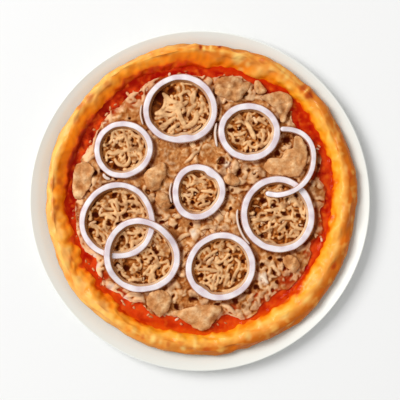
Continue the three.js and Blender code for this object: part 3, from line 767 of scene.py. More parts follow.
# %% Sauce shape
SAUCE_COLUMNS = 720
UNDER_CRUST = 2.4
UNDER_FISH = 12
angles = even_angles(SAUCE_COLUMNS)
edge = sauce_radius(angles) + UNDER_CRUST
start = tuna_radius(angles) - UNDER_FISH
radius = start + (edge - start) * np.linspace(0, 1, 36)[:, None]
sauce_x, sauce_y = polar(radius, angles)
pulp = 0.55 * layered_noise(sauce_x / 7, sauce_y / 7, seed=21, layers=2)
creep = 1.0 * rise(6.2, 2.2, edge - radius)
top = SAUCE_TOP - 0.2 + pulp + creep * (0.8 + 0.3 * noise(sauce_x / 8, sauce_y / 8, seed=22))
upper = np.stack([sauce_x, sauce_y, top], -1)[::-1]
rim_x, rim_y = polar(edge, angles)
lower = np.stack([rim_x, rim_y, np.full_like(rim_x, SAUCE_BOTTOM)], -1)[None]
inner_top = upper[-1] * (1, 1, 0) + (0, 0, SAUCE_TOP - 0.4)
sauce_rows = np.concatenate([lower, upper, inner_top[None]])
print("sauce sheet of", len(sauce_rows), "rows")

# %% What is stored on the sauce
beyond = radius - tuna_radius(angles)
crumb_room = rise(-5, -1, beyond) * rise(6, 1, beyond)
crumb_places = noise(sauce_x / 11, sauce_y / 11, seed=24) + 0.8 * facing(angles, 190) - 0.45
clean_dough = np.interp(angles, even_angles(CRUST_COLUMNS), smear)
from_crust = edge - 1.7 - clean_dough - radius + 1.6 * noise(sauce_x / 7, sauce_y / 7, seed=25)
sauce_marks = {
    "pulp": pulp,
    "crumb_room": crumb_room * rise(-0.2, 0.3, crumb_places),
    "dark_side": soft_bump(angles, 150, 36),
    # the band along the crust is wider at the upper left, where it is painted dark red as painted shade
    "near_crust": rise(5 + 3 * soft_bump(angles, 150, 40), 0, from_crust),
    "warm_side": facing(angles, 268),
    "near_fish": rise(9, 1, beyond),
}
for name, values in sauce_marks.items():
    values = np.broadcast_to(values, radius.shape)
    sauce_marks[name] = np.concatenate([values[-1:], values[::-1], values[:1]])
sauce = turned_shell(
    "tomato_sauce", (*PIZZA_MIDDLE, SAUCE_BOTTOM), sauce_rows, (*PIZZA_MIDDLE, SAUCE_TOP - 0.4), sauce_marks
)

# %% [markdown]
# Its finish: tomato sauce is red jelly with orange pulp in it, and oil shines on it. It is
# painted darker at the upper left, and in a wider band along the crust there, as painted shade
# from the high rim.

# %% Sauce finish
tomato, tree, shader = new_material(
    "crushed_tomato_sauce", Roughness=0.2, IOR=1.38, Specular_IOR_Level=0.02, Coat_Weight=0.1,
    Coat_Roughness=0.08, Coat_IOR=1.4,
)
depth = stored(tree, "pulp", -0.3, 0.4)
# painted shade: towards the upper left the sauce and the band along the crust are painted darker red
dark = attribute(tree, "dark_side")
warm = stored(tree, "warm_side", 0.75, 1.0)
red = mix_colours(tree, dark, mix_colours(tree, warm, "A80C00", "BC2800"), "7A0600")
clouds = spread(tree, noise_of(tree, 10, detail=1.0), 0.4, 0.68)
clouds = multiply(tree, clouds, stored(tree, "pulp", -0.5, 0.4))
cloudy = mix_colours(tree, clouds, red, mix_colours(tree, dark, "E84806", "9C1400"))
fish_share = multiply(tree, attribute(tree, "near_fish"), spread(tree, noise_of(tree, 9), 0.42, 0.66))
fish_side = mix_colours(tree, fish_share, cloudy, "DC4410")
pulp_share = multiply(tree, depth, spread(tree, noise_of(tree, 5.0, detail=1.5), 0.5, 0.75))
pulpy = mix_colours(tree, pulp_share, fish_side, "E06418")
crust_red = mix_colours(tree, dark, mix_colours(tree, warm, "C82A00", "DC4C04"), "760600")
tomato_colour = mix_colours(tree, attribute(tree, "near_crust"), pulpy, crust_red)
tree.links.new(tomato_colour, shader.inputs["Base Color"])
wire_bump(tree, shader, noise_of(tree, 2.2, detail=3.0), 0.35, 0.5)
finish_piece(sauce, tomato, "tomato_sauce", "sauce")

# %% [markdown]
# Where the onion lies.
#
# The onion pieces are laid first in the plan, because the fish bed dips under them and the
# loose shreds keep clear of them. Each ring is a circle with an oval and a three-lobed bend.

# %% Onion plan
RING_HEIGHT = 4.79
RING_LEAN = 2.2
CROSSING_LIFT = RING_HEIGHT + 0.6
RINGS = [
    dict(x=-18.3, y=86.1, radius=30.7, band=4.8, oval=1.2, oval_turn=4, lobe=0.5, lobe_turn=-36,
         thick=(-82, 0.4)),
    dict(x=-71.8, y=48.2, radius=24.5, band=4.5, oval=0.5, oval_turn=19, lobe=0.4, lobe_turn=7),
    dict(x=46.1, y=64.7, radius=25.0, band=5.2, oval=1.0, oval_turn=-5, lobe=0.1, lobe_turn=23),
    dict(x=-1.5, y=8.5, radius=22.6, band=5.0, oval=0.7, oval_turn=73, lobe=0.7, lobe_turn=3,
         thick=(55, 0.4)),
    dict(x=73.0, y=-12.7, radius=32.1, band=5.2, oval=0.8, oval_turn=-71, lobe=0.3, lobe_turn=-39),
    dict(x=-77.2, y=-18.7, radius=33.0, band=4.6, oval=0.2, oval_turn=89, lobe=0.6, lobe_turn=-43),
    dict(x=-54.6, y=-51.1, radius=32.2, band=5.0, oval=0.8, oval_turn=-32, lobe=0.7, lobe_turn=-13,
         lift=(70, 178)),
    dict(x=19.5, y=-61.5, radius=29.4, band=5.0, oval=0.8, oval_turn=32, lobe=0.3, lobe_turn=-39,
         thick=(-128, 0.35)),
]
OPEN_PATH = [
    (75.2, 67.4), (86.0, 66.8), (96.0, 63.0), (103.5, 55.0), (106.6, 44.0), (105.2, 31.0),
    (100.0, 20.5), (93.0, 13.0), (84.0, 8.0), (73.0, 5.6), (61.5, 7.2),
]
OPEN_BAND = 4.2
OPEN_LIFT_AT = 0.71
STRANDS = [
    ([(35.4, -8.0), (34.9, -15.0), (36.6, -24.0), (41.0, -33.5), (46.5, -40.5)], 1.5),
    ([(-26.6, 17.0), (-28.0, 8.0), (-26.4, -1.5)], 1.2),
    ([(15.6, 73.0), (14.4, 63.0), (16.0, 51.0)], 1.7),
    ([(-54.6, 90.0), (-55.4, 81.0), (-53.2, 71.5)], 1.2),
    ([(-90.6, 25.6), (-88.2, 22.2), (-84.0, 20.4)], 2.4),
]
STRAND_HEIGHT = 2.6


def ring_middle(ring, angle):
    """The radius of the middle of a ring's band."""
    oval = ring["oval"] * np.cos(2 * (angle - math.radians(ring["oval_turn"])))
    lobe = ring["lobe"] * np.cos(3 * (angle - math.radians(ring["lobe_turn"])))
    return ring["radius"] + oval + lobe


def ring_lift(ring, angle):
    """How far a ring is lifted where it climbs over another one."""
    lift = np.zeros_like(angle)
    for direction in ring.get("lift", ()):
        away = np.abs(turned_from(angle, direction))
        lift = np.maximum(lift, CROSSING_LIFT * (1 - rise(math.radians(19), math.radians(58), away)))
    return lift


def seen_from(place, x, y):
    """The angle and the distance of points, seen from the middle of a ring or a chunk."""
    return np.arctan2(y - place["y"], x - place["x"]), np.hypot(x - place["x"], y - place["y"])


def length_along(line):
    """How far each point of a line is from its start."""
    return np.concatenate([[0], np.cumsum(np.linalg.norm(np.diff(line, axis=0), axis=1))])


def line_through(points, count):
    """Evenly spaced points, and directions, on a smooth line through a few points."""
    rows = np.array(points, float)[:, None, :]
    fine = smooth_rows(rows, 40 * len(points))[:, 0, :]
    length = length_along(fine)
    at = np.linspace(0, length[-1], count)
    line = np.stack([np.interp(at, length, fine[:, axis]) for axis in (0, 1)], -1)
    way = np.gradient(line, axis=0)
    return line, way / np.linalg.norm(way, axis=1, keepdims=True)


open_line, open_way = line_through(OPEN_PATH, 160)
strand_lines = [(line_through(points, 60), width) for points, width in STRANDS]


def onion_distance(x, y, strands=True):
    """Distance from the nearest onion piece's wall: negative inside its band."""
    nearest = np.full(np.shape(x), 99.0)
    for ring in RINGS:
        angle, distance = seen_from(ring, x, y)
        out = distance - ring_middle(ring, angle)
        half = ring["band"] / 2
        nearest = np.minimum(nearest, np.where(out > 0, out - half, -out - half - RING_LEAN))
    thin = [(line, width / 2 + 0.2) for (line, _), width in strand_lines] if strands else []
    for line, half in [(open_line, OPEN_BAND / 2 + 0.4)] + thin:
        away = np.full(np.shape(x), 99.0)
        for px, py in line[:: max(1, len(line) // 60)]:
            away = np.minimum(away, np.hypot(x - px, y - py))
        nearest = np.minimum(nearest, away - half)
    return nearest


def inside_ring(x, y):
    """Distance inwards from the nearest ring's inner foot: positive in a ring's hollow."""
    deepest = np.full(np.shape(x), -99.0)
    for ring in RINGS:
        angle, distance = seen_from(ring, x, y)
        deepest = np.maximum(deepest, ring_middle(ring, angle) - ring["band"] / 2 - distance)
    return deepest


print(len(RINGS), "rings, one open ring and", len(STRANDS), "strands")

# %% [markdown]
# Large chunks of fish.
#
# A few pieces are as large as a thumb tip. They are planned next, because the bed dips under
# them too. Each is a low dome on its own outline, drawn in wherever onion stands.

# %% Chunk plan
CHUNKS = [
    dict(x=30, y=106, height=5.2, outline=[
        (15, 100), (22, 97), (30, 94), (37, 94), (42, 100), (47, 106), (47, 111.5), (42, 112),
        (37, 116), (29, 117.5), (21, 116.5), (16, 114), (13, 107),
    ]),
    dict(x=56, y=105, height=4.2, outline=[
        (51, 105), (55, 100), (60.5, 101), (62.5, 104), (58.5, 109), (55, 113), (51.5, 112),
    ]),
    dict(x=77, y=91, height=5.2, outline=[
        (63, 92.5), (70, 86.5), (74, 80), (76, 73.5), (80, 75), (82, 82), (86, 88), (87.5, 94),
        (83, 100), (76, 102.5), (68, 101.5), (61, 99.3), (57, 97),
    ]),
    dict(x=86, y=38, height=4.4, outline=[
        (88, 51), (80, 47), (76, 40), (67, 40.5), (61, 36), (62, 28), (70, 24), (82, 22), (92, 23),
        (98, 31), (101, 42), (99.5, 52), (95, 60), (89, 61),
    ]),
    dict(x=-41, y=24, height=5.0, outline=[
        (-50, 14), (-44, 9.5), (-38, 11.5), (-36, 17), (-32, 25), (-32, 34), (-37, 37), (-42, 33),
        (-49, 29), (-53, 22),
    ]),
    dict(x=-33, y=-1, height=4.4, outline=[
        (-41.5, 0), (-38, -5), (-33, -8.5), (-27, -5), (-26, 1), (-30, 6.5), (-36, 8), (-41, 6),
    ]),
    dict(x=-110, y=20, height=4.2, outline=[
        (-119.5, 18), (-119.5, 9), (-116.5, 2), (-111, 2.5), (-107, 8), (-102.5, 14), (-101.5, 22), (-99, 29),
        (-103.5, 35), (-110, 37.5), (-115.5, 34), (-118.5, 27),
    ]),
    dict(x=-38, y=-95, height=5.4, outline=[
        (-49, -98), (-44, -104), (-38, -108.5), (-33, -106), (-29, -100.5), (-27, -93),
        (-29.5, -86), (-37, -83), (-45, -85), (-50, -91),
    ]),
    dict(x=0, y=-108, height=5.4, outline=[
        (-18, -110.5), (-10, -115.5), (-5, -119.5), (1, -121.5), (7.5, -120), (12, -115.5),
        (16, -109), (20, -102), (16, -98), (7, -97), (-3, -98), (-12, -100), (-20, -102.5),
        (-25.5, -104.5),
    ]),
    dict(x=86, y=-58, height=4.8, outline=[
        (78, -57.5), (82, -63), (89, -66.5), (93.5, -61), (91, -54), (85, -50.5), (79, -53),
    ]),
    dict(x=30, y=20, height=4.4, outline=[
        (22.5, 18.5), (27, 15), (34, 14), (37.5, 19), (34, 23.5), (28, 26), (22.5, 22.5),
    ]),
]
CHUNK_COLUMNS = 96


def chunk_outline(chunk):
    """A smooth closed line through the outline, drawn in to be clear of the onion."""
    corners = np.array(chunk["outline"], float)
    count = len(corners)
    at = np.arange(CHUNK_COLUMNS) / CHUNK_COLUMNS * count
    base = np.floor(at).astype(int)
    t = (at - base)[:, None]
    line = curve_between(*(corners[(base + step) % count] for step in (-1, 0, 1, 2)), t)
    middle = np.array([chunk["x"], chunk["y"]])
    shares = 0.97 ** np.arange(60)[:, None]
    x = middle[0] + shares * (line[:, 0] - middle[0])
    y = middle[1] + shares * (line[:, 1] - middle[1])
    blocked = onion_distance(x, y) < 0.8
    share = shares[np.argmin(blocked, axis=0), 0]
    wide = np.stack([np.roll(share, shift) for shift in range(-2, 3)])
    return middle + (line - middle) * np.minimum(wide.mean(0), wide[1:4].min(0))[:, None]


chunk_outlines = [chunk_outline(chunk) for chunk in CHUNKS]


def chunk_cover(x, y):
    """1 well inside a chunk, falling to 0 at its edge."""
    cover = np.zeros(np.shape(x))
    for chunk, line in zip(CHUNKS, chunk_outlines):
        turns, reaches = seen_from(chunk, line[:, 0], line[:, 1])
        order = np.argsort(turns)
        angle, distance = seen_from(chunk, x, y)
        reach = np.interp(angle, turns[order], reaches[order], period=TURN)
        cover = np.maximum(cover, rise(0.3, 2.6, reach - distance))
    return cover


print(len(CHUNKS), "chunks")

# %% [markdown]
# A height map.
#
# The fish is a heap of strings and flakes that have melted into each other. Fusing hundreds of
# tubes with Booleans is slow, and only their upper side is ever seen. So the fish is drawn as a
# height map instead: a square grid of heights above the bare bed, on which strings are laid one
# by one. Where a new string meets the old ground, a soft maximum rounds the crossing, and it
# looks fused. The meshes later read their heights and colours from this map.

# %% Height map
MAP_STEP = 0.45
MAP_REACH = 124.0
map_line = np.arange(-MAP_REACH, MAP_REACH + MAP_STEP / 2, MAP_STEP)
map_x, map_y = np.meshgrid(map_line + PIZZA_MIDDLE[0], map_line + PIZZA_MIDDLE[1])
map_angle = np.arctan2(map_y - PIZZA_MIDDLE[1], map_x - PIZZA_MIDDLE[0])
map_radius = np.hypot(map_x - PIZZA_MIDDLE[0], map_y - PIZZA_MIDDLE[1])
NOTHING = -20.0


def read_map(values, x, y):
    """A map's value at any place, from the four map points round it."""
    most = len(map_line) - 1.001
    u = np.clip((x - map_x[0, 0]) / MAP_STEP, 0, most)
    v = np.clip((y - map_y[0, 0]) / MAP_STEP, 0, most)
    column, row = np.floor(u).astype(int), np.floor(v).astype(int)
    right, up = u - column, v - row
    low = values[row, column] * (1 - right) + values[row, column + 1] * right
    high = values[row + 1, column] * (1 - right) + values[row + 1, column + 1] * right
    return low * (1 - up) + high * up


def blurred(values, size_mm):
    """The map without what is finer than size_mm."""
    weights = np.hanning(2 * int(size_mm / MAP_STEP) + 3)
    weights = weights / weights.sum()
    for axis in (0, 1):
        values = np.apply_along_axis(np.convolve, axis, values, weights, "same")
    return values


def soft_top(first, second, blend):
    """The higher of two heights, rounded where they cross."""
    near = np.maximum(blend - np.abs(first - second), 0) / blend
    return np.maximum(first, second) + 0.25 * blend * near * near


def lay_string(heights, line, radius, blend):
    """Lays one string on a height map: points of its middle line, and its radius at each."""
    margin = 2.5 + radius.max()
    corner = np.array([map_x[0, 0], map_y[0, 0]])
    low = np.maximum(((line[:, :2].min(0) - margin - corner) / MAP_STEP).astype(int), 0)
    high = ((line[:, :2].max(0) + margin - corner) / MAP_STEP).astype(int)
    window = np.s_[low[1] : high[1], low[0] : high[0]]
    x, y = map_x[window], map_y[window]
    top = np.full(x.shape, NOTHING)
    for start, end, first, last in zip(line[:-1], line[1:], radius[:-1], radius[1:]):
        run = end - start
        share = ((x - start[0]) * run[0] + (y - start[1]) * run[1]) / (run[0] ** 2 + run[1] ** 2 + 1e-9)
        share = np.clip(share, 0, 1)
        away = np.hypot(x - start[0] - share * run[0], y - start[1] - share * run[1])
        thick = first + share * (last - first)
        body = start[2] + share * run[2] + np.sqrt(np.maximum(thick**2 - away**2, 0))
        top = np.maximum(top, body - 3.0 * np.maximum(away - thick, 0))
    heights[window] = soft_top(heights[window], top, blend)


def lay_net(heights, room, spacing, levels, radii, blend, seed):
    """Lays bent strings between scattered knots, wherever the room map allows."""
    count = int(2 * MAP_REACH / spacing)
    column, row = np.meshgrid(np.arange(count), np.arange(count))
    draw = [scramble(column, row, np.full_like(column, seed + step)) for step in range(12)]
    x = map_x[0, 0] + (column + 0.5 + 0.85 * (draw[0] - 0.5)) * spacing
    y = map_y[0, 0] + (row + 0.5 + 0.85 * (draw[1] - 0.5)) * spacing
    z = levels[0] + (levels[1] - levels[0]) * draw[2]
    thick = radii[0] + (radii[1] - radii[0]) * draw[3] ** 1.5
    knots = np.stack([x, y, z], -1)
    roomy = read_map(room, x, y) > 0.5
    share = np.linspace(0, 1, 6)[:, None]
    laid = 0
    neighbours = [(1, 0, 0.62), (0, 1, 0.62), (1, 1, 0.28), (1, -1, 0.28)]
    for number, (step_x, step_y, likely) in enumerate(neighbours):
        for r, c in zip(*np.nonzero(roomy & (draw[4 + number] < likely))):
            if not (0 <= r + step_y < count and c + step_x < count and roomy[r + step_y, c + step_x]):
                continue
            start, end = knots[r, c], knots[r + step_y, c + step_x]
            aside = np.array([start[1] - end[1], end[0] - start[0], -0.8])
            bend = 0.7 * (draw[8 + number % 3][r, c] - 0.5) * aside
            line = start + (end - start) * share + bend * 4 * share * (1 - share)
            if read_map(room, *line[3, :2]) < 0.5:
                continue
            radius = thick[r, c] * (1 - share) + thick[r + step_y, c + step_x] * share
            lay_string(heights, line, (radius * (0.8 + 0.9 * (share - 0.5) ** 2))[:, 0], blend)
            laid += 1
    return laid


def lay_lumps(heights, room, spacing, levels, radii, blend, seed):
    """Lays egg-shaped lumps, one in each square of a grid, wherever the room map allows."""
    warp = 0.25 * spacing * noise(map_x / 5, map_y / 5, seed=seed)
    column = np.floor((map_x - map_x[0, 0]) / spacing).astype(int)
    row = np.floor((map_y - map_y[0, 0]) / spacing).astype(int)
    top = np.full_like(map_x, NOTHING)
    for step_x in (-1, 0, 1):
        for step_y in (-1, 0, 1):
            cell = (column + step_x, row + step_y)
            draw = [scramble(*cell, np.full_like(column, seed + step)) for step in range(5)]
            x = map_x[0, 0] + (column + step_x + 0.5 + 0.8 * (draw[0] - 0.5)) * spacing
            y = map_y[0, 0] + (row + step_y + 0.5 + 0.8 * (draw[1] - 0.5)) * spacing
            turn = math.pi * draw[2]
            along = (map_x - x) * np.cos(turn) + (map_y - y) * np.sin(turn) + warp
            across = (map_y - y) * np.cos(turn) - (map_x - x) * np.sin(turn) - warp
            size = radii[0] + (radii[1] - radii[0]) * draw[3]
            away = np.hypot(0.62 * along, across)
            dome = levels[0] + (levels[1] - levels[0]) * draw[4] + np.sqrt(np.maximum(size**2 - away**2, 0))
            dome = dome - 2.0 * np.maximum(away - size, 0)
            top = soft_top(top, np.where(read_map(room, x, y) > 0.5, dome, NOTHING), blend)
    return soft_top(heights, top, blend)


print("height map of", len(map_line), "by", len(map_line), "points")

# %% [markdown]
# The bed of flaked fish.
#
# Tinned tuna breaks into flakes and strings. Where they are pressed together the bed is a
# smooth, grainy crust with low steps between flakes. Elsewhere it is a net of short strings
# with dark holes. So two kinds of ground are worked out and a slow noise says where each one
# shows. In the rings there is only the net, lower and darker. Under onion and chunks the bed
# dips, so that they sit in it.

# %% Holes and sauced places
PITS = [
    # dark holes between flakes: place and radius in mm
    (81.5, 57, 5), (72.5, 44.5, 3.4), (20.5, 37, 4.6), (36.5, 26.5, 3.4), (45.5, 28.5, 2),
    (51, 25.5, 1.6), (33.5, 102, 2.2), (43, 97, 2.6), (-6, -91, 4.4), (-22, -99, 3.4), (15.5, -97.5, 3),
    (33.5, -94.5, 3.4), (41, -99, 2.8), (75.5, -55, 2.6), (58.5, -60, 2.6), (66, -53.5, 2), (71, -68, 3),
    (72, -76, 2.4), (80, -63.5, 1.8), (86, -69.5, 2.2), (52.5, -80.5, 3), (47, -86, 2.4), (68, -84, 2.2),
    (-98, 26.5, 2.4), (-103.5, 15.5, 2.2), (-91.5, 28, 2.2), (-21, 21, 2), (29, -7, 2.2),
    (22, -11.5, 2.4), (-22, -25, 2.6), (-26, -5.5, 2.4), (-35.5, -20, 2.2), (-8, -22, 2.2),
    (107, -39, 3.6), (112, 33, 2.6), (30.5, 10, 2.4), (-48, 9, 2.4), (-79, 21.5, 1.8), (-66, 77.5, 2),
    (-55.5, 101.5, 2.2),
    # in the rings
    (-36.5, 72.5, 2.2), (-13.5, 81, 2.6), (-21, 70.5, 2), (-28, 69.5, 2), (-2.5, 100, 2), (-38, 98, 5.5),
    (-27, 104, 3.6), (-86.5, 52.5, 2.8), (-84.5, 37.5, 2.6), (-73, 56, 2.2), (-63, 52, 2), (-79, 32, 2.4),
    (-65.5, 36.5, 2.2), (-58.5, 36, 1.6), (29.5, 66.5, 2.8), (37.5, 68, 2.2), (53.5, 64.5, 2.6),
    (35.5, 56.5, 2.4), (45, 46.5, 2.4), (50.5, 73, 2), (56.5, 57, 1.8), (-9.5, 6.5, 2.2), (-4.5, 7, 2.2),
    (-7, -1, 2.2), (10.5, 6, 1.8), (7, -0.5, 2), (-14.5, 2, 2.6), (69, -4, 2.8), (81.5, 1, 2.4),
    (79, -12, 2.2), (93, -13.5, 2.8), (56.5, -24, 1.8), (94, -22.5, 1.8), (82, -25, 2.2), (58, -33, 3),
    (51.5, -13.5, 2.8), (58.5, 0, 4), (90.5, 5, 2.2), (75, -31.5, 1.6), (-98, -13, 3.6),
    (-85, -21.5, 2.2), (-69, -13.5, 2.6), (-61.5, -5, 2.4), (-75, -9, 1.8), (-67, 4.5, 1.8),
    (-80.5, 6, 2.4), (-77, -21, 2), (-102, -28, 2.6), (-96.5, -20.5, 1.8), (-67.5, -41.5, 2.4),
    (-73, -34, 2.6), (-55, -32.5, 2), (-78, -43.5, 2.4), (-41, -48, 3.2), (-54, -57, 2),
    (-68.5, -63.5, 3.2), (-38, -62.5, 2), (-40.5, -71.5, 2.4), (-57, -67.5, 1.8), (-76.5, -60, 2.8),
    (-52.5, -73, 1.6), (10.5, -53.5, 2.6), (16.5, -49.5, 1.8), (29, -47.5, 2), (28, -53.5, 1.6),
    (40.5, -56.5, 1.8), (22, -61.5, 1.6), (1.5, -70, 2.8), (-1.5, -57, 2.4), (32, -74, 2.6),
    (6, -75, 1.8), (43.5, -68, 1.8), (19, -72, 1.6), (9.5, -61.5, 1.6),
]
RED_PLACES = [
    # where sauce shows between the flakes: place and radius in mm
    (-60, 98, 17), (-48, 110, 10), (4, 119, 9), (-84, 84, 8), (82, -72, 13), (68, -92, 14),
    (30, -106, 12), (110, -12, 11), (109, 24, 9), (54, -92, 10), (-90, -72, 9), (-74, -88, 9),
    (103, -45, 10), (-104, -48, 8), (-112, 30, 5), (-38, -26, 8), (88, -88, 8),
]
CRUMBLY_PLACES = [
    # where the flakes have broken into strings: place and radius in mm
    (33, 22, 19), (72, -72, 24), (8, -26, 16), (-58, 100, 14), (24, 36, 8), (52, 22, 12), (-24, -84, 10),
    (50, -94, 10), (108, -38, 8), (-38, -24, 8), (112, 18, 8), (-84, -84, 10), (80, 52, 7),
]
HOLLOWS = [
    # deep places in the rings with no strings: place and radius in mm
    (-41, 90, 9), (-45, 80, 5), (53, -7, 6), (50, -16, 3.5), (-33, 101, 6), (-99, -14, 4), (-68, -64, 4),
]
MASSES = [
    # places in the rings where the fish has not broken up: place and radius in mm
    (-34, -46, 11), (58, 63, 9), (-6, 95, 8), (-14, 76, 6), (-73, 38, 7), (36, 77, 7), (76, -26, 8),
    (-90, -2, 7), (-62, -5, 6), (25, -76, 6), (2, 14, 8), (-62, -64, 6), (88, -24, 6), (12, -64, 6),
    (-82, -30, 7), (-20, 70, 8), (-8, 72, 6), (38, 58, 8), (50, 74, 7), (-9, 8, 7), (-73, 54, 6),
    (-62, 40, 7), (22, -50, 8), (36, -62, 6), (64, -26, 7), (90, -14, 7), (-70, -24, 7), (-50, -66, 7),
    (-88, -24, 7),
]
SMOOTH_PLACES = [
    # where the flakes lie close: place and radius in mm
    (-26, 44, 22), (8, 46, 9), (-35, -46, 9), (84, -78, 9), (-97, 30, 8), (30, 84, 10),
]
MILKY_PLACES = [
    # where a whitish liquid from the fish has set on it: place and radius in mm
    (59, -73, 7), (26, 34, 5), (-100, -52, 5), (-96, -61, 4), (-84, -81, 5), (-70, -92, 5), (-109, -8, 4.5),
    (-113, 31, 4), (74, -97, 4), (83, -91, 3.5), (-6, -30, 5),
]

print(len(PITS), "holes and", len(RED_PLACES), "places where sauce shows")


# %% Room on the map
def soft_steps(x, y, size, seed):
    """Low steps where one flake ends on another."""
    level = layered_noise(x / size, y / size, seed=seed, layers=3)
    return rise(-0.07, 0.07, level) + rise(0.28, 0.4, level)


def marks(places, start, end, uneven=1.0):
    """1 at each listed place, falling to 0 round it; start and end are shares of its radius."""
    mark = np.zeros_like(map_x)
    for x, y, size in places:
        mark = np.maximum(mark, 1 - rise(start * size, end * size, np.hypot(map_x - x, map_y - y) * uneven))
    return mark


wall_room = onion_distance(map_x, map_y)
ring_wall_room = onion_distance(map_x, map_y, strands=False)
ring_room = inside_ring(map_x, map_y)
in_ring = rise(-0.5, 1.5, ring_room)
off_onion = np.where(ring_room > 0, rise(-0.8, 0.4, ring_wall_room), rise(-0.6, 1.4, ring_wall_room))
under_onion = 1 - off_onion
under_chunk = chunk_cover(map_x, map_y)
pit = marks(PITS, 0.4, 1.15, 1 + 0.6 * layered_noise(map_x / 4, map_y / 4, seed=95, layers=2))
red = marks(RED_PLACES, 0.3, 1.0)
crumbly = rise(-0.3, 0.1, layered_noise(map_x / 24, map_y / 24, seed=69, layers=2))
crumbly = np.maximum(crumbly, marks(CRUMBLY_PLACES, 0.75, 1.0))
crumbly = crumbly * (1 - marks(SMOOTH_PLACES, 0.75, 1.0))
print(round(100 * float(crumbly.mean())), "percent of the map is crumbly")

# %% Bed height
swell = layered_noise(map_x / 15, map_y / 15, seed=62, layers=2)
puffs = np.abs(layered_noise(map_x / 10, map_y / 10, seed=66, layers=2))
grain = layered_noise(map_x / 2.8, map_y / 2.8, seed=92, layers=2)
steps = soft_steps(map_x, map_y, 19, 71)
fine = layered_noise(map_x / 4.6, map_y / 4.6, seed=64, layers=2)
open_room = (1 - in_ring) * (1 - rise(1.0, 0.2, wall_room)) * (1 - under_chunk)
smooth_bed = 0.5 * steps + 0.4 * swell + 0.9 * np.sqrt(puffs + 0.03) - 1.5
smooth_bed = lay_lumps(smooth_bed, open_room, 8.6, (-4.3, -3.2), (3.4, 4.7), 1.5, 700)
smooth_bed = smooth_bed + 0.3 * fine + 0.16 * grain
hollow = marks(HOLLOWS, 0.6, 1.0)
net = -1.8 + 1.3 * puffs + 0.35 * fine + 0.15 * grain - 0.5 * hollow
mass = marks(MASSES, 0.5, 1.0)
net = np.maximum(net, -6 + mass * (5.6 + 1.1 * np.sqrt(puffs + 0.03) + 0.4 * fine))
string_room = rise(0.0, 0.6, ring_room) * (1 - hollow)
laid = lay_net(net, string_room, 5.6, (-2.1, -1.2), (1.3, 2.1), 1.5, 300)
laid += lay_net(net, string_room * (1 - pit) * (1 - mass), 7.8, (-1.3, -0.2), (1.4, 2.2), 1.2, 400)
crumbled = -2.2 + 1.0 * puffs + 0.3 * fine + 0.15 * grain
crumb_ground = open_room * crumbly * (1 - pit)
crumbled = lay_lumps(crumbled, crumb_ground, 8.0, (-3.4, -2.2), (3.2, 4.8), 2.4, 800)
laid += lay_net(crumbled, crumb_ground, 8.6, (-1.8, -0.7), (1.6, 2.6), 1.8, 500)
between = smooth_bed * (1 - crumbly) + np.maximum(crumbled, smooth_bed - 1.4) * crumbly
covered = np.maximum(under_onion, under_chunk)
detail = net * in_ring + between * (1 - in_ring)
detail = detail * (1 - covered) - 1.6 * pit * (1 - covered) * (1 - 0.3 * in_ring) - 0.15 * covered
print(laid, "strings laid")
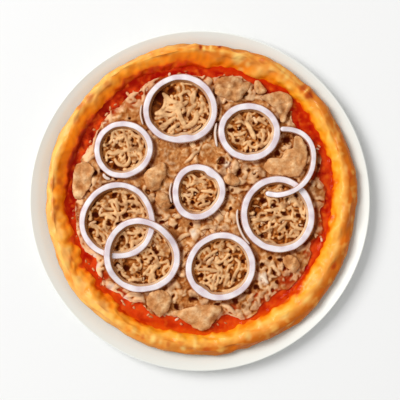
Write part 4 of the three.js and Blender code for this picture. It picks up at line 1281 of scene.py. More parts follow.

# %% [markdown]
# Long strings of fish.
#
# In each ring a few strings are long and lie over the others and over the holes, and they give
# the ring its own look. They are listed one by one, each as a line of a few points.

# %% Long strings
LONG_STRINGS = [
    # top left ring
    ([(-34, 100.5), (-30, 96), (-25, 93), (-20, 92)], 1.9),
    ([(-21, 92), (-20, 84), (-17.5, 77), (-14, 71)], 2),
    ([(-41, 81), (-35, 81.5), (-28, 80.5), (-23, 82)], 1.5), ([(-37, 69), (-31, 72.5), (-25, 77)], 1.9),
    ([(-29, 66), (-24, 69.5), (-19, 73)], 1.6), ([(-7, 91), (-6.5, 97), (-4.5, 103)], 1.9),
    ([(-12, 79), (-9, 86), (-3, 91)], 1.3), ([(-15, 69), (-9, 71), (-4, 76), (-2.5, 84)], 2),
    ([(-30, 88), (-24, 87), (-18, 89), (-12, 93)], 1.9),
    ([(-19, 63.5), (-12, 63.5), (-5, 66.5), (1, 71)], 1.1), ([(-1, 80), (2, 86), (1.5, 93)], 1.3),
    ([(-17, 101), (-11, 103), (-9, 98)], 1.2),
    # left ring
    ([(-88, 45.5), (-81, 44), (-74, 46), (-67, 48), (-60, 49.5)], 1.1),
    ([(-77, 61), (-71, 62), (-68.5, 57), (-67, 51), (-65, 48)], 1.1),
    ([(-82, 51), (-79, 56), (-75, 59.5)], 1.1), ([(-55, 42), (-57, 36), (-62, 31.5), (-69, 29.5)], 1),
    ([(-80, 40), (-77, 35), (-71, 33), (-66.5, 36.5), (-66, 42)], 1.2),
    ([(-60, 58), (-56, 53), (-56, 47)], 1), ([(-76, 43), (-72, 39.5), (-70, 43.5)], 1.1),
    # top right ring
    ([(42.5, 75.5), (45.5, 71), (48.5, 65), (51.5, 58.5)], 1.9), ([(53, 77), (58, 75), (63, 71.5)], 1.1),
    ([(32, 62), (38, 62.5), (43, 65)], 1.2), ([(40, 52), (45, 55.5), (48, 51), (54, 50)], 1.1),
    ([(58, 67), (60, 61), (57.5, 54)], 1.2), ([(33, 73), (39, 74.5), (43, 71)], 1.1),
    ([(64, 66), (65, 60), (62, 54)], 0.9),
    # middle ring
    ([(1, 9.5), (7, 9), (13, 8.5)], 1.1), ([(-10, 14), (-5, 17), (1, 18.5), (7, 16.5)], 1.2),
    ([(-2, 1), (3, 3), (7, 5.5)], 1.1), ([(-1, -5), (5, -3.5), (10, -1)], 1.1),
    ([(-12, 10), (-6, 11), (-1, 8)], 1),
    # right ring
    ([(49, -17.5), (56, -18), (64, -16.5), (71, -15.5)], 1.6),
    ([(65.5, -5), (66, 1), (71, 2.5), (74, -2)], 1.2),
    ([(83, -3), (84.5, 2), (88.5, 2.5), (91, -2), (94.5, -6.5)], 1.2),
    ([(85, -20), (88, -24), (93, -26), (98, -26.5)], 1.3), ([(65.5, -19), (65, -25), (66, -31)], 1.1),
    ([(84, -32), (87.5, -27.5), (91, -31)], 1.2), ([(60, -9), (67, -8.5), (74, -7), (80, -6)], 1.2),
    ([(74, -18), (80, -16.5), (86, -16.5), (92, -18)], 1.3), ([(73, -28), (77, -24), (81, -20)], 1.2),
    ([(88, -9), (86.5, -14), (88, -19)], 1.1), ([(58, -29), (63, -27.5), (68, -24)], 1.1),
    # left large ring
    ([(-94, -14), (-88, -12.5), (-82, -15)], 1.2),
    ([(-73, -3), (-67, -0.5), (-61, -1.5), (-56.5, -5)], 1.2),
    ([(-87, -2), (-82, 0.5), (-78, -3), (-76.5, -9)], 1.2),
    ([(-68, -10), (-61, -9.5), (-55, -11), (-52.5, -6.5)], 1.2), ([(-92, -4), (-87, -7), (-81, -8)], 1.2),
    ([(-74, -14), (-72, -18), (-66, -18)], 1.1), ([(-94, -30), (-90, -34), (-89, -39)], 1.1),
    ([(-99, -34), (-95, -38), (-92, -43)], 1.1), ([(-90, -18), (-89, -25), (-86, -30)], 1.2),
    # where the two left rings cross
    ([(-69, -29), (-63, -30.5), (-57, -29), (-54, -25.5)], 1.2),
    ([(-62, -38), (-57, -37), (-52, -33)], 1.1), ([(-76, -47), (-70, -47), (-65, -45)], 1.1),
    # lower left ring
    ([(-48, -71), (-45, -67), (-42, -63), (-37.5, -60.5)], 1.3),
    ([(-53, -69.5), (-49, -65), (-45.5, -60)], 1.2), ([(-64, -71), (-60, -73.5), (-55, -74.5)], 1.1),
    ([(-63, -60), (-59, -63), (-55, -62)], 1.1), ([(-74, -66), (-71, -70), (-66, -72)], 1.1),
    # bottom ring
    ([(-2, -64.5), (5, -64), (12, -65), (19, -66.5)], 1.2),
    ([(3, -57.5), (6, -53), (11, -49.5), (17, -46)], 1.1), ([(22.5, -80), (25, -74), (27.5, -68)], 1.2),
    ([(29, -79), (31.5, -72.5), (34.5, -66), (38.5, -60.5)], 1.2),
    ([(11, -57), (17, -58), (23, -55), (27, -50)], 1.1), ([(14, -80), (17, -75), (17, -69)], 1.1),
    ([(33, -54), (37, -58), (36, -63)], 1.1), ([(12, -76), (8, -72), (12, -69)], 1.1),
    ([(20, -84), (27, -84), (34, -81), (40, -75)], 1),
    # on the open bed
    ([(-14, 36), (-9, 40), (-5, 45), (0, 47)], 1.3), ([(-55, 105), (-61, 103.5), (-66, 99)], 1.4),
    ([(-53, 108), (-51, 113)], 1.2), ([(108, -31), (112, -36), (117, -41)], 1.2),
    ([(-97, 44), (-103, 40), (-108, 36)], 1.3), ([(-70, -91), (-63, -87.5), (-55, -88.5)], 2),
    ([(21, -97), (27, -100), (34, -107)], 1.7), ([(63, -88), (64, -94), (66, -99)], 1.5),
    ([(52, -94), (53, -101)], 1.3), ([(60, -67), (61, -75)], 2.2),
    ([(-10, -31), (-16, -33), (-20, -37)], 1.6), ([(0, -27), (8, -24), (15, -26)], 1.5),
    ([(24, 17), (28, 22), (27, 30)], 1.5), ([(43, 97), (50, 95.5)], 1.8),
]
for index, (path, radius) in enumerate(LONG_STRINGS):
    line, _ = line_through(path, 4 + 3 * len(path))
    share = np.linspace(-1, 1, len(line))
    uneven = 1.25 * radius * (1 + 0.25 * noise(line[:, 0] / 5, line[:, 1] / 5, seed=181 + index))
    level = 0.2 - 1.4 * share**4 + 0.5 * noise(line[:, 0] / 7, line[:, 1] / 7, seed=180 + index)
    lay_string(detail, np.column_stack([line, level]), uneven * (1 - 0.25 * share**4), 0.8)
detail = np.clip(detail, -3.0, 2.0)
raised = detail - blurred(detail, 3.0)
print(len(LONG_STRINGS), "long strings")

# %% [markdown]
# The bed's mesh is two discs of points round the pizza's middle, because the open bed outside
# the rings needs its points closer together than the middle does. In the rings the strings are
# too fine for both, so each ring gets a finer disc of its own, and the bed sinks below that one.

# %% Edge of the bed
BED_COLUMNS = 880
FLUNG_OUT = [
    # where the fish lies further out, or less far: direction and half width in degrees, size in mm
    (195, 7, 3), (223, 4.5, 6), (182, 5, 2.5), (317, 4, 8), (163, 4, 1.5), (114, 4, 4), (291, 3, 2),
    (12, 5, -8), (131, 4, -4), (153, 4, -4.5), (210, 4, -7), (240, 5, -7), (282, 4, -6), (338, 4, -7),
    (353, 5, -6), (104, 3, -3), (0, 3, -2), (300, 3, -3),
]
edge_angles = even_angles(BED_COLUMNS)
edge_noise = layered_noise(np.cos(edge_angles) * 15, np.sin(edge_angles) * 15, seed=61, layers=3)
ragged = tuna_radius(edge_angles) + 2.0 * edge_noise + bumps_round(edge_angles, FLUNG_OUT)
ragged = np.minimum(ragged, sauce_radius(edge_angles) - 3)
edge_room = np.interp(map_angle, edge_angles, ragged, period=TURN)
edge_room = edge_room - map_radius
print("fish reaches", round(float(ragged.min())), "to", round(float(ragged.max())), "mm out")

# %% What is stored on the fish
low_places = rise(0.6, -1.2, detail) * 0.8 + 0.2
pale_edge = rise(9, 2, edge_room) * facing(map_angle, 185)
soaked = rise(8, 0, edge_room) * rise(-0.5, 0.4, noise(map_x / 9, map_y / 9, seed=68))
soaked = soaked * (0.3 + 0.7 * low_places)
slope_y, slope_x = np.gradient(blurred(ring_wall_room, 2.0), MAP_STEP)
SHADOW_WAY = math.radians(-32)
shadow_side = np.clip(slope_x * math.cos(SHADOW_WAY) + slope_y * math.sin(SHADOW_WAY), 0, 1)
wall_shadow = rise(0.6, 2.8, ring_wall_room) * rise(5.8, 3.4, ring_wall_room) * rise(0.0, 0.75, shadow_side)
wall_line = rise(0.4, 0.8, ring_wall_room) * rise(2.0, 1.1, ring_wall_room)
# the relief picks the fish's colour: painted shade in creases and holes, painted light on raised strings
net_relief = 0.95 * detail + 0.8 * raised + 0.3
open_relief = 0.5 * detail + 1.4 * raised + 0.2 + 0.7 * pale_edge
tone = 0.5 + 0.5 * layered_noise(map_x / 17, map_y / 17, seed=98, layers=2) + 0.8 * pale_edge
fish_layers = {
    "relief": net_relief * in_ring + open_relief * (1 - in_ring),
    "shade": pit * (1 - 0.7 * rise(-0.8, 0.6, detail)),
    "stain": np.maximum(soaked, red * low_places),
    "tone": tone - 0.5 * mass * in_ring * rise(0.9, 0.0, detail),
    # painted shadow that the rings cast to the lower right, and a thin painted contact shade round them
    "juice": np.maximum(0.8 * wall_shadow, 0.3 * wall_line) * (1 - in_ring),
    "milky": marks(MILKY_PLACES, 0.2, 1.0, 1 + 0.5 * fine),
}
print("layers stored on the fish:", *fish_layers)


# %% Discs of fish
def fish_shell(name, middle, x, y, z, more=None):
    """A disc of fish, closed below; its first row of points is the innermost."""
    x, y, z = x[::-1], y[::-1], z[::-1]
    bottom = np.full((1, x.shape[1]), TUNA_BOTTOM - 0.8)
    rows = np.stack([np.concatenate(pair) for pair in ((x[:1], x), (y[:1], y), (bottom, z))], -1)
    layers = {**fish_layers, **(more or {})}
    attributes = {key: read_map(values, rows[..., 0], rows[..., 1]) for key, values in layers.items()}
    return turned_shell(name, (*middle, TUNA_BOTTOM - 0.8), rows, (*middle, float(z[-1].mean())), attributes)


def fish_disc(name, columns, reaches, sink, own_part):
    """A disc of fish through rows of radii, lower by sink and where a ring's own disc lies."""
    angles = even_angles(columns)
    edge = np.interp(angles, edge_angles, ragged, period=TURN)
    radius = np.minimum(reaches[:, None] * np.ones(columns), edge)
    x, y = polar(radius, angles)
    near_edge = rise(0.4, 2.4, edge - radius)
    under_net = rise(1.0, 2.2, read_map(ring_room, x, y)) * rise(-1.0, 0.0, read_map(ring_wall_room, x, y))
    z = support_height(x, y) + read_map(detail, x, y) * near_edge - 0.9 * under_net - sink(radius)
    z = np.maximum(z, SAUCE_TOP - 0.2)
    z[-1] = TUNA_BOTTOM - 0.6
    room = (1 - pit) * (1 - under_chunk) * own_part
    in_rings = rise(2.2, 4.4, ring_room) * rise(0.5, 3.0, wall_room)
    between_rings = (1 - in_ring) * rise(3, 5, wall_room)
    loose = np.maximum(crumbly, red)
    return fish_shell(
        name, PIZZA_MIDDLE, x, y, z,
        {"shred_room": in_rings * room, "loose_room": between_rings * room * rise(1, 5, edge_room) * loose},
    )


BED_SEAM = 74.0
middle_part = rise(BED_SEAM + 1, BED_SEAM - 1, map_radius)
middle_reaches = np.linspace(0, BED_SEAM + 1.5, 136)[1:]
edge_reaches = np.concatenate([
    np.linspace(0, BED_SEAM - 2, 6)[1:], np.linspace(BED_SEAM - 1, 119, 84), [120.5, 122, 124, 126, 130]
])
bed_middle = fish_disc("tuna_bed_middle", 660, middle_reaches, lambda radius: 0 * radius, middle_part)
bed_edge = fish_disc(
    "tuna_bed_edge", 960, edge_reaches, lambda radius: 1.6 * rise(BED_SEAM + 0.2, BED_SEAM - 1, radius),
    1 - middle_part,
)

# %% Fish in the rings
NET_COLUMNS = 300
NET_ROWS = 58
ring_beds = []
for index, ring in enumerate(RINGS):
    angles = even_angles(NET_COLUMNS)
    reach = ring_middle(ring, angles) - ring["band"] / 2 - RING_LEAN + 1.4
    shares = np.linspace(0, 1, NET_ROWS + 1)[1:, None] ** 0.85
    x = ring["x"] + reach * shares * np.cos(angles)
    y = ring["y"] + reach * shares * np.sin(angles)
    z = support_height(x, y) + read_map(detail, x, y)
    for other in RINGS[:index]:
        turn, distance = seen_from(other, x, y)
        inside = ring_middle(other, turn) - other["band"] / 2 - RING_LEAN - distance
        z = z - 0.8 * rise(-1.4, 0.0, inside)
    ring_beds.append(fish_shell(f"tuna_net_in_ring_{index + 1}", (ring["x"], ring["y"]), x, y, z))

# %% [markdown]
# Its finish: cooked fish is a moist, matt tan. Its creases and holes are painted dark brown as
# painted shade, and its raised fibres are painted pale as painted light; round the rings a painted
# shadow falls to the lower right. Near the edge, sauce soaks in.


# %% Fish finish
def fish_material(name, dark, mid, light, pale):
    """Flaked fish: the stored relief paints creases dark and raised fibres pale, as painted shade and light.
    """
    material, tree, shader = new_material(name, Roughness=0.5, IOR=1.4, Specular_IOR_Level=0.03)
    depth = stored(tree, "relief", -2.0, 1.4)
    specks = spread(tree, noise_of(tree, 1.9, detail=4.0, roughness=0.7), 0.36, 0.64)
    speckled = maths(tree, "MULTIPLY_ADD", specks, 0.17, depth)
    colour = ramp(tree, speckled, [(0.14, dark), (0.43, mid), (0.72, light), (0.96, pale)])
    own = stored(tree, "tone", 1.1, 0.2)
    darkened = multiply(tree, own, spread(tree, noise_of(tree, 6, detail=3.0), 0.3, 0.7))
    tinted = mix_colours(tree, darkened, colour, "8C4C1E")
    whitened = mix_colours(tree, multiply(tree, attribute(tree, "milky"), depth), tinted, "F2DCC4")
    pitted = mix_colours(tree, attribute(tree, "shade"), whitened, "440C00")
    stained = mix_colours(tree, attribute(tree, "stain"), pitted, "A82C06")
    ring_shadowed = mix_colours(tree, attribute(tree, "juice"), stained, "641A02")
    tree.links.new(ring_shadowed, shader.inputs["Base Color"])
    wire_bump(tree, shader, noise_of(tree, 1.6, detail=3.0, roughness=0.55), 0.3, 0.5)
    return material


tuna_flesh = fish_material("flaked_cooked_tuna", "5A0C00", "AC5E22", "DA985A", "FACC9A")
# a darker, more saturated copy of the fish for the hollows of the rings, as painted shade
shaded_ring_flesh = fish_material("tuna_in_rings_shaded", "400800", "9C4A0C", "D08642", "FACA92")
for piece in [bed_middle, bed_edge]:
    finish_piece(piece, tuna_flesh, "tuna", "tuna_flakes")
for piece in ring_beds:
    finish_piece(piece, shaded_ring_flesh, "tuna", "tuna_flakes")

# %% Chunk meshes
CHUNK_ROWS = 40


def make_chunk(index, chunk, outline):
    """A dome on the chunk's outline, with soft lumps and a fine meaty grain."""
    middle = np.array([chunk["x"], chunk["y"]])
    turns, _ = seen_from(chunk, outline[:, 0], outline[:, 1])
    height_wobble = wobble(201 + index, [1, 2, 4])(turns)
    full = chunk["height"]
    rows = [
        # share of the outline, height, and how much the height wobbles
        (0.5, 0, 0), (0.9, 0, 0), (1.0, 0.3 * full, 0.2), (0.92, 0.66 * full, 0.3),
        (0.68, 0.92 * full, 0.5), (0.34, full, 0.35), (0.04, 0.97 * full, 0.1),
    ]
    shares = np.stack([np.full(CHUNK_COLUMNS, row[0]) for row in rows])
    lifts = np.stack([row[1] + row[2] * height_wobble for row in rows])
    body = smooth_rows(np.stack([shares, lifts], -1), CHUNK_ROWS)
    ragged_line = layered_noise(outline[:, 0] / 5, outline[:, 1] / 5, seed=60, layers=3)
    reach = body[..., 0] * (1 + 0.07 * ragged_line * rise(0.0, 0.3 * full, body[..., 1]))
    x = middle[0] + (outline[:, 0] - middle[0]) * reach
    y = middle[1] + (outline[:, 1] - middle[1]) * reach
    upper = rise(0.15 * full, 0.5 * full, body[..., 1])
    folds = np.abs(layered_noise(x / 14, y / 14, seed=150 + index, layers=2))
    lumps = noise(x / 8.5, y / 8.5, seed=170 + index)
    knots = noise(x / 4.6, y / 4.6, seed=190 + index)
    grain = layered_noise(x / 2.6, y / 2.6, seed=90 + index, layers=2)
    relief = upper * (1.6 * (np.sqrt(folds + 0.03) - 0.6) + 1.5 * lumps + 0.45 * knots + 0.16 * grain)
    z = support_height(x, y) + REST_GAP + np.maximum(body[..., 1], 0) + relief
    base = float(support_height(*middle)) + REST_GAP
    tone = 0.35 + 0.4 * ((index * 0.618) % 1) + 0.3 * noise(x / 8, y / 8, seed=98)
    # relief paints the low sides and creases dark and the top and lumps pale, as painted shade and light
    chunk_layers = {
        "relief": 0.6 * relief + 0.6 * upper - 0.2,
        "tone": tone,
        "shade": 0.25 * rise(0.3 * full, 0.0, body[..., 1]),
        "stain": 0.2 * rise(0.4 * full, 0.0, body[..., 1]),
    }
    rows = np.stack([x, y, z], -1)
    name = f"tuna_chunk_{index + 1}_fibrous"
    return turned_shell(name, (*middle, base), rows, (*middle, float(z[-1].mean())), chunk_layers)


chunk_flesh = fish_material("pressed_tuna_chunk", "6A2604", "B87036", "E0A268", "FCCE98")
for index, (chunk, outline) in enumerate(zip(CHUNKS, chunk_outlines)):
    piece = make_chunk(index, chunk, outline)
    finish_piece(piece, chunk_flesh, "tuna", f"tuna_chunk_{index + 1}")

# %% [markdown]
# Onion rings.
#
# Each ring is one fleshy leaf cut across: a flat wet cut face, a wall that leans in below it,
# and a thin skin on both walls that shows as a fine purple-brown line. The section is swept
# round the ring's own line, and one attribute counts along the section, so that the material
# can tell cut face from wall.


# %% Onion section and sweep
def leaf_section(band, height, lean, count=30):
    """Steps out and up from the middle of a leaf's foot, rounded."""
    half = band / 2
    corners = [
        (-half - lean, 0.0), (-half, 0.0), (half + 0.3, 0.0), (half + 0.75, 0.3 * height),
        (half + 0.55, 0.65 * height), (half + 0.1, 0.91 * height), (half - 0.4, height),
        (0.3 * half, height + 0.05), (-0.3 * half, height + 0.05), (0.45 - half, height),
        (-half - 0.02, 0.92 * height), (-half - 0.4 * lean, 0.6 * height),
        (-half - 0.85 * lean, 0.2 * height),
    ]
    loop = np.array(corners + corners[:1])[:, None, :]
    return smooth_rows(loop, count + 1)[:-1, 0, :]


def face_shade(section, height):
    """1 on the cut face, 0 on the outer wall and the foot, and 0.5 on the inner wall."""
    out, up = section[:, 0], section[:, 1]
    face = rise(0.80 * height, 0.93 * height, up)
    inner = (out < 0) & (up > 0.02 * height)
    return np.where(inner, np.maximum(face, 0.5), face)


LIT_FROM = math.radians(148)
LIGHT_WAY = np.array([math.cos(LIT_FROM), math.sin(LIT_FROM)])


def sweep(name, section, places, ways, lift, closed, shade, widths):
    """Sweeps a section along places; ways point to the section's outer side."""
    out = section[None, :, 0, None] * widths[:, None, None] * ways[:, None, :]
    xy = places[:, None, :] + out
    ground = support_height(xy[..., 0], xy[..., 1])
    lower_ends = np.minimum(1, 0.55 + 0.45 * widths)
    z = ground + REST_GAP + lift[:, None] + section[None, :, 1] * lower_ends[:, None]
    points = np.concatenate([xy, z[..., None]], -1)
    count, corners = len(places), len(section)
    faces = [face[::-1] for face in quads(count, corners, close_rows=closed)]
    if not closed:
        faces.append(list(range(corners)))
        faces.append([(count - 1) * corners + c for c in range(corners)][::-1])
    # the side of a ring that faces the light is stored, so its inner wall there, turned from the light, is
    # painted dark as painted shade
    attributes = {"face": np.broadcast_to(shade, (count, corners)).reshape(-1),
                  "wall_side": np.repeat(0.5 + 0.5 * (ways @ LIGHT_WAY), corners)}
    return make_piece(name, points.reshape(-1, 3), faces, attributes)


def rounded_ends(line, half):
    """Width shares along a line that close it with a round end at both sides."""
    along = length_along(line)
    from_end = np.minimum(along, along[-1] - along)
    return np.sqrt(np.clip(1 - (1 - np.minimum(from_end / half, 1)) ** 2, 0.12, 1))


# %% [markdown]
# Their finish: raw onion flesh is translucent and wet. A little light passes through it, the
# cut face is near white with a cool tinge, and the leaning inner wall is tan from the fish,
# painted pale where it faces the light and dark where it is turned from it, as painted light
# and shade.

# %% Onion finish
onion_flesh, tree, shader = new_material(
    "raw_onion_leaf", Roughness=0.3, IOR=1.36, Subsurface_Weight=0.15,
    Subsurface_Radius=(0.003, 0.0022, 0.0022), Subsurface_Scale=1.0,
)
face = attribute(tree, "face")
face_colour = ramp(
    tree, face,
    [(0.0, "DCB4A0"), (0.30, "CCA08A"), (0.50, "DDB287"), (0.62, "CFA282"), (0.74, "9A6450"),
     (0.86, "E4D2D0"), (1.0, "F2E9EA")],
)
# painted light and shade on the inner wall: pale where it faces the light, dark where it is turned from it
wall_light_and_shade = ramp(
    tree, attribute(tree, "wall_side"), [(0.0, "F0D0A8"), (0.35, "E0B488"), (0.7, "B07C4C"), (1.0, "98643A")]
)
wall_share = multiply(tree, spread(tree, face, 0.72, 0.6), spread(tree, face, 0.4, 0.48))
walled = mix_colours(tree, wall_share, face_colour, wall_light_and_shade)
streaks = spread(tree, noise_of(tree, 11, detail=1.5), 0.36, 0.66)
streaked = mix_colours(tree, streaks, walled, "E6DCE0", "MULTIPLY")
tree.links.new(streaked, shader.inputs["Base Color"])
wire_bump(tree, shader, noise_of(tree, 3, detail=2.0), 0.15, 0.4)

skin_flesh, tree, shader = new_material("onion_inner_skin", Roughness=0.35, IOR=1.36)
skin_colours = [(0.0, "C09470"), (0.5, "CCA480"), (0.8, "DCBEA4"), (1.0, "E4D0C4")]
tree.links.new(ramp(tree, attribute(tree, "face"), skin_colours), shader.inputs["Base Color"])
wire_bump(tree, shader, noise_of(tree, 3, detail=2.0), 0.15, 0.4)
print("materials:", onion_flesh.name, "and", skin_flesh.name)

# %% Rings, the open ring and the strands
RING_STEPS = 220
for index, ring in enumerate(RINGS):
    angle = even_angles(RING_STEPS)
    uneven = 0.25 * noise(np.cos(angle) * 3 + 10 * index, np.sin(angle) * 3, seed=120)
    middle = ring_middle(ring, angle) + uneven
    ways = np.stack([np.cos(angle), np.sin(angle)], -1)
    places = np.array([ring["x"], ring["y"]]) + middle[:, None] * ways
    section = leaf_section(ring["band"], RING_HEIGHT, RING_LEAN)
    widths = 1 + 0.11 * layered_noise(np.cos(angle) * 2, np.sin(angle) * 2, 3.0 * index, seed=127, layers=2)
    direction, growth = ring.get("thick", (0, 0))
    away = np.abs(turned_from(angle, direction))
    bulge = growth * (1 - rise(math.radians(4), math.radians(20), away))
    places = places - (0.5 * ring["band"] * bulge)[:, None] * ways
    piece = sweep(
        f"onion_ring_{index + 1}_leaf", section, places, ways, ring_lift(ring, angle), True,
        face_shade(section, RING_HEIGHT), widths + bulge,
    )
    finish_piece(piece, onion_flesh, "onion", f"onion_ring_{index + 1}")

share = np.linspace(0, 1, len(open_line))
lift = CROSSING_LIFT * (1 - rise(0.1, 0.25, np.abs(share - OPEN_LIFT_AT)))
section = leaf_section(OPEN_BAND, RING_HEIGHT, 0.6)
right_side = np.stack([open_way[:, 1], -open_way[:, 0]], -1)
unevenness = noise(open_line[:, 0] / 14, open_line[:, 1] / 14, seed=128)
widths = rounded_ends(open_line, 2.6) * (1 + 0.1 * unevenness)
shade = face_shade(section, RING_HEIGHT)
piece = sweep("onion_ring_open_leaf", section, open_line, right_side, lift, False, shade, widths)
finish_piece(piece, onion_flesh, "onion", "onion_ring_open")
for index, ((line, way), width) in enumerate(strand_lines):
    section = leaf_section(width, STRAND_HEIGHT, 0.2, count=18)
    right_side = np.stack([way[:, 1], -way[:, 0]], -1)
    piece = sweep(
        f"onion_strand_{index + 1}_leaf", section, line, right_side, np.zeros(len(line)), False,
        face_shade(section, STRAND_HEIGHT), rounded_ends(line, 3.0),
    )
    finish_piece(piece, skin_flesh, "onion", f"onion_strand_{index + 1}")

# %% [markdown]
# Loose shreds of fish.
#
# Many short shreds lie on the bed, across each other. There are far too many to place by hand,
# and they follow a rule, so Geometry Nodes lays them: points scattered on the bed where the
# stored room allows, a few kinds of shred on the points, each turned and tilted at random from
# a fixed seed. A shred is a tube along a bent line, thinner at its ends.


# %% Shred kinds
def tube(line_mm, radius, sides=8):
    """Points, faces and how high each point is on a closed tube along a line, thinner at its ends."""
    way = np.gradient(line_mm, axis=0)
    way /= np.linalg.norm(way, axis=1, keepdims=True)
    side = np.stack([-way[:, 1], way[:, 0], np.zeros(len(way))], -1)
    side /= np.maximum(np.linalg.norm(side, axis=1, keepdims=True), 1e-6)
    up = np.cross(way, side)
    share = np.linspace(-1, 1, len(line_mm))
    size = radius * np.sqrt(np.maximum(1 - 0.86 * np.abs(share) ** 5, 0.05))
    turn = even_angles(sides)[None, :, None]
    rows = line_mm[:, None, :] + size[:, None, None] * (
        np.cos(turn) * side[:, None, :] + 0.9 * np.sin(turn) * up[:, None, :]
    )
    faces = [face[::-1] for face in quads(len(line_mm), sides)]
    faces.append(list(range(sides)))
    faces.append([(len(line_mm) - 1) * sides + c for c in range(sides)][::-1])
    height = np.broadcast_to(1.5 * np.sin(turn[..., 0]) - 0.3, rows.shape[:2])
    return rows.reshape(-1, 3), faces, height.reshape(-1)


def shred_kind(index):
    """One bent shred along X, in millimetres: some are arcs, some hooks, some waves."""
    draw = repeatable(300 + index)
    length = 5.0 + 5.0 * draw()
    radius = 1.25 + 0.55 * draw()
    bend, hook, wave = 5.0 * (draw() - 0.5), 3.0 * (draw() - 0.5), 2.2 * (draw() - 0.5)
    share = np.linspace(-1, 1, 10)
    side = bend * (1 - share**2) + hook * share**3 + wave * np.sin(3 * share)
    line = np.column_stack([share * length / 2, side, 0.2 - 0.9 * share**4])
    points, faces, height = tube(line, radius)
    # the height round the tube is stored as relief, so the shred is painted pale on top and dark underneath,
    # as painted light and shade
    kind = make_piece(f"shred_kind_{index}", points, faces, {"relief": height})
    bpy.context.scene.collection.objects.unlink(kind)
    return kind


shred_kinds = bpy.data.collections.new("shred kinds")
for index in range(12):
    shred_kinds.objects.link(shred_kind(index))

# %% [markdown]
# The shreds are paler than the bed, and each has its own tone, stored once per shred.

# %% Shred finish
shred_flesh = fish_material("loose_tuna_shred", "5E1E04", "B46C32", "E0A468", "FCD2A4")
print("material:", shred_flesh.name)


# %% Scatter tree
def scatter_tree(name, kinds, material):
    """A Geometry Nodes tree that lays kinds of piece on the faces of a mesh."""
    tree = bpy.data.node_groups.new(name, "GeometryNodeTree")
    inputs = [
        ("Geometry", "Geometry"), ("Per square metre", "Float"), ("Closest", "Float"), ("Seed", "Int"),
        ("Tilt", "Float"), ("Lowest", "Float"), ("Highest", "Float"), ("Room", "Float"),
    ]
    for title, kind in inputs:
        tree.interface.new_socket(title, in_out="INPUT", socket_type="NodeSocket" + kind)
    tree.interface.new_socket("Geometry", in_out="OUTPUT", socket_type="NodeSocketGeometry")
    given = tree.nodes.new("NodeGroupInput").outputs
    result = tree.nodes.new("NodeGroupOutput").inputs
    points = add(
        tree, "GeometryNodeDistributePointsOnFaces", {"distribute_method": "POISSON"},
        Mesh=given["Geometry"], Distance_Min=given["Closest"], Density_Max=given["Per square metre"],
        Density_Factor=given["Room"], Seed=given["Seed"],
    )
    other_way = maths(tree, "MULTIPLY", given["Tilt"], -1.0)
    least = add(tree, "ShaderNodeCombineXYZ", X=other_way, Y=other_way, Z=0.0)
    most = add(tree, "ShaderNodeCombineXYZ", X=given["Tilt"], Y=given["Tilt"], Z=TURN)
    seed = given["Seed"]
    turn = add(
        tree, "FunctionNodeRandomValue", {"data_type": "FLOAT_VECTOR"}, Min=least.outputs[0],
        Max=most.outputs[0], Seed=seed,
    )
    number = {"data_type": "FLOAT"}
    size = add(tree, "FunctionNodeRandomValue", number, Min=0.75, Max=1.2, Seed=seed)
    low, high = given["Lowest"], given["Highest"]
    height = add(tree, "FunctionNodeRandomValue", number, Min=low, Max=high, Seed=seed)
    tone = add(tree, "FunctionNodeRandomValue", number, Min=0.0, Max=1.0, Seed=seed)
    up = add(tree, "ShaderNodeCombineXYZ", X=0.0, Y=0.0, Z=height.outputs[1])
    raised = add(tree, "GeometryNodeSetPosition", Geometry=points.outputs["Points"], Offset=up.outputs[0])
    source = add(tree, "GeometryNodeCollectionInfo", {"transform_space": "ORIGINAL"})
    source.inputs["Collection"].default_value = kinds
    source.inputs["Separate Children"].default_value = True
    source.inputs["Reset Children"].default_value = True
    laid = add(
        tree, "GeometryNodeInstanceOnPoints", Points=raised.outputs["Geometry"], Instance=source.outputs[0],
        Pick_Instance=True, Rotation=turn.outputs[0], Scale=size.outputs[1],
    )
    toned = add(
        tree, "GeometryNodeStoreNamedAttribute", {"data_type": "FLOAT", "domain": "INSTANCE"},
        Geometry=laid.outputs["Instances"], Name="tone", Value=tone.outputs[1],
    )
    solid = add(tree, "GeometryNodeRealizeInstances", Geometry=toned.outputs["Geometry"])
    shown = add(tree, "GeometryNodeSetMaterial", Geometry=solid.outputs["Geometry"], Material=material)
    tree.links.new(shown.outputs["Geometry"], result["Geometry"])
    return tree


def scatter_on(name, ground, tree, values, room):
    """Runs a scatter tree on a mesh and keeps the result as a plain mesh object."""
    carrier = bpy.data.objects.new(name + "_ground", ground.data)
    bpy.context.scene.collection.objects.link(carrier)
    modifier = carrier.modifiers.new("scatter", "NODES")
    modifier.node_group = tree
    sockets = {item.name: item.identifier for item in tree.interface.items_tree if item.in_out == "INPUT"}
    for key, value in values.items():
        modifier[sockets[key]] = value
    modifier[sockets["Room"] + "_use_attribute"] = True
    modifier[sockets["Room"] + "_attribute_name"] = room
    seen = carrier.evaluated_get(bpy.context.evaluated_depsgraph_get())
    mesh = bpy.data.meshes.new_from_object(seen)
    mesh.name = name
    bpy.data.objects.remove(carrier)
    piece = bpy.data.objects.new(name, mesh)
    bpy.context.scene.collection.objects.link(piece)
    return piece


# %% Lay the shreds
shred_tree = scatter_tree("lay shreds", shred_kinds, shred_flesh)
for ground, part in ((bed_middle, "middle"), (bed_edge, "edge")):
    for place, room, closest, lowest, highest in (
        ("in_rings", "shred_room", 13.0, -1.2, -0.5),
        ("between", "loose_room", 17.0, -1.2, -0.7),
    ):
        shred_rule = {
            "Per square metre": 14000.0, "Closest": closest * MM, "Seed": 4, "Tilt": 0.12,
            "Lowest": lowest * MM, "Highest": highest * MM,
        }
        shreds = scatter_on(f"tuna_shreds_{place}_{part}", ground, shred_tree, shred_rule, room)
        finish_piece(shreds, shred_flesh, "tuna", "tuna_flakes")

# %% [markdown]
# Crumbs at the edge of the fish.
#
# Small crumbs of fish have rolled into the sauce. The same tree lays them, with lumpy little
# balls as its kinds and the sauce as its ground.


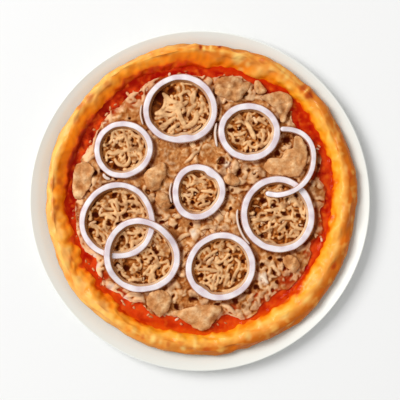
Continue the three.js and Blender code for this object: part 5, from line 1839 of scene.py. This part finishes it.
# %% Crumb kinds and crumbs
def crumb_kind(index):
    """A lumpy ball, about two millimetres across."""
    draw = repeatable(500 + index)
    rise_angle = np.linspace(-1.3, 1.3, 7)[:, None]
    turn = even_angles(10)
    lumps = noise(2 * np.cos(turn), 2 * np.sin(turn), rise_angle * 2, seed=500 + index)
    size = (0.8 + 0.5 * draw()) * (1 + 0.25 * lumps)
    x = size * np.cos(rise_angle) * np.cos(turn) * (1.1 + draw())
    rows = np.stack([x, size * np.cos(rise_angle) * np.sin(turn), 0.8 * size * np.sin(rise_angle)], -1)
    kind = turned_shell(f"crumb_kind_{index}", (0, 0, -0.8), rows, (0, 0, 0.8))
    bpy.context.scene.collection.objects.unlink(kind)
    return kind


crumb_kinds = bpy.data.collections.new("crumb kinds")
for index in range(5):
    crumb_kinds.objects.link(crumb_kind(index))
crumb_flesh, tree, shader = new_material("sauced_tuna_crumb", Roughness=0.4, IOR=1.4, Specular_IOR_Level=0.25)
crumb_colours = [(0.0, "B04A1C"), (0.45, "C8743E"), (0.8, "DDA070"), (1.0, "EEC4A4")]
tree.links.new(ramp(tree, attribute(tree, "tone"), crumb_colours), shader.inputs["Base Color"])
crumb_tree = scatter_tree("lay crumbs", crumb_kinds, crumb_flesh)
crumb_rule = {
    "Per square metre": 45000.0, "Closest": 2.4 * MM, "Seed": 3, "Tilt": 0.4,
    "Lowest": -0.4 * MM, "Highest": 0.3 * MM,
}
crumbs = scatter_on("tuna_crumbs", sauce, crumb_tree, crumb_rule, "crumb_room")
finish_piece(crumbs, crumb_flesh, "tuna", "tuna_flakes")

# %% [markdown]
# The table top.
#
# A plain pale sheet, wide enough to fill every view, stands in for the studio's white table.
# It is staging, not part of the pizza.

# %% Floor
floor_mesh = bpy.data.meshes.new("floor")
floor_mesh.from_pydata([(-4, -4, 0), (4, -4, 0), (4, 4, 0), (-4, 4, 0)], [], [(0, 1, 2, 3)])
floor = bpy.data.objects.new("floor", floor_mesh)
bpy.context.scene.collection.objects.link(floor)
paper, tree, shader = new_material("white_paper", Base_Color=linear("F1F1F0"), Roughness=0.9)
floor_mesh.materials.append(paper)
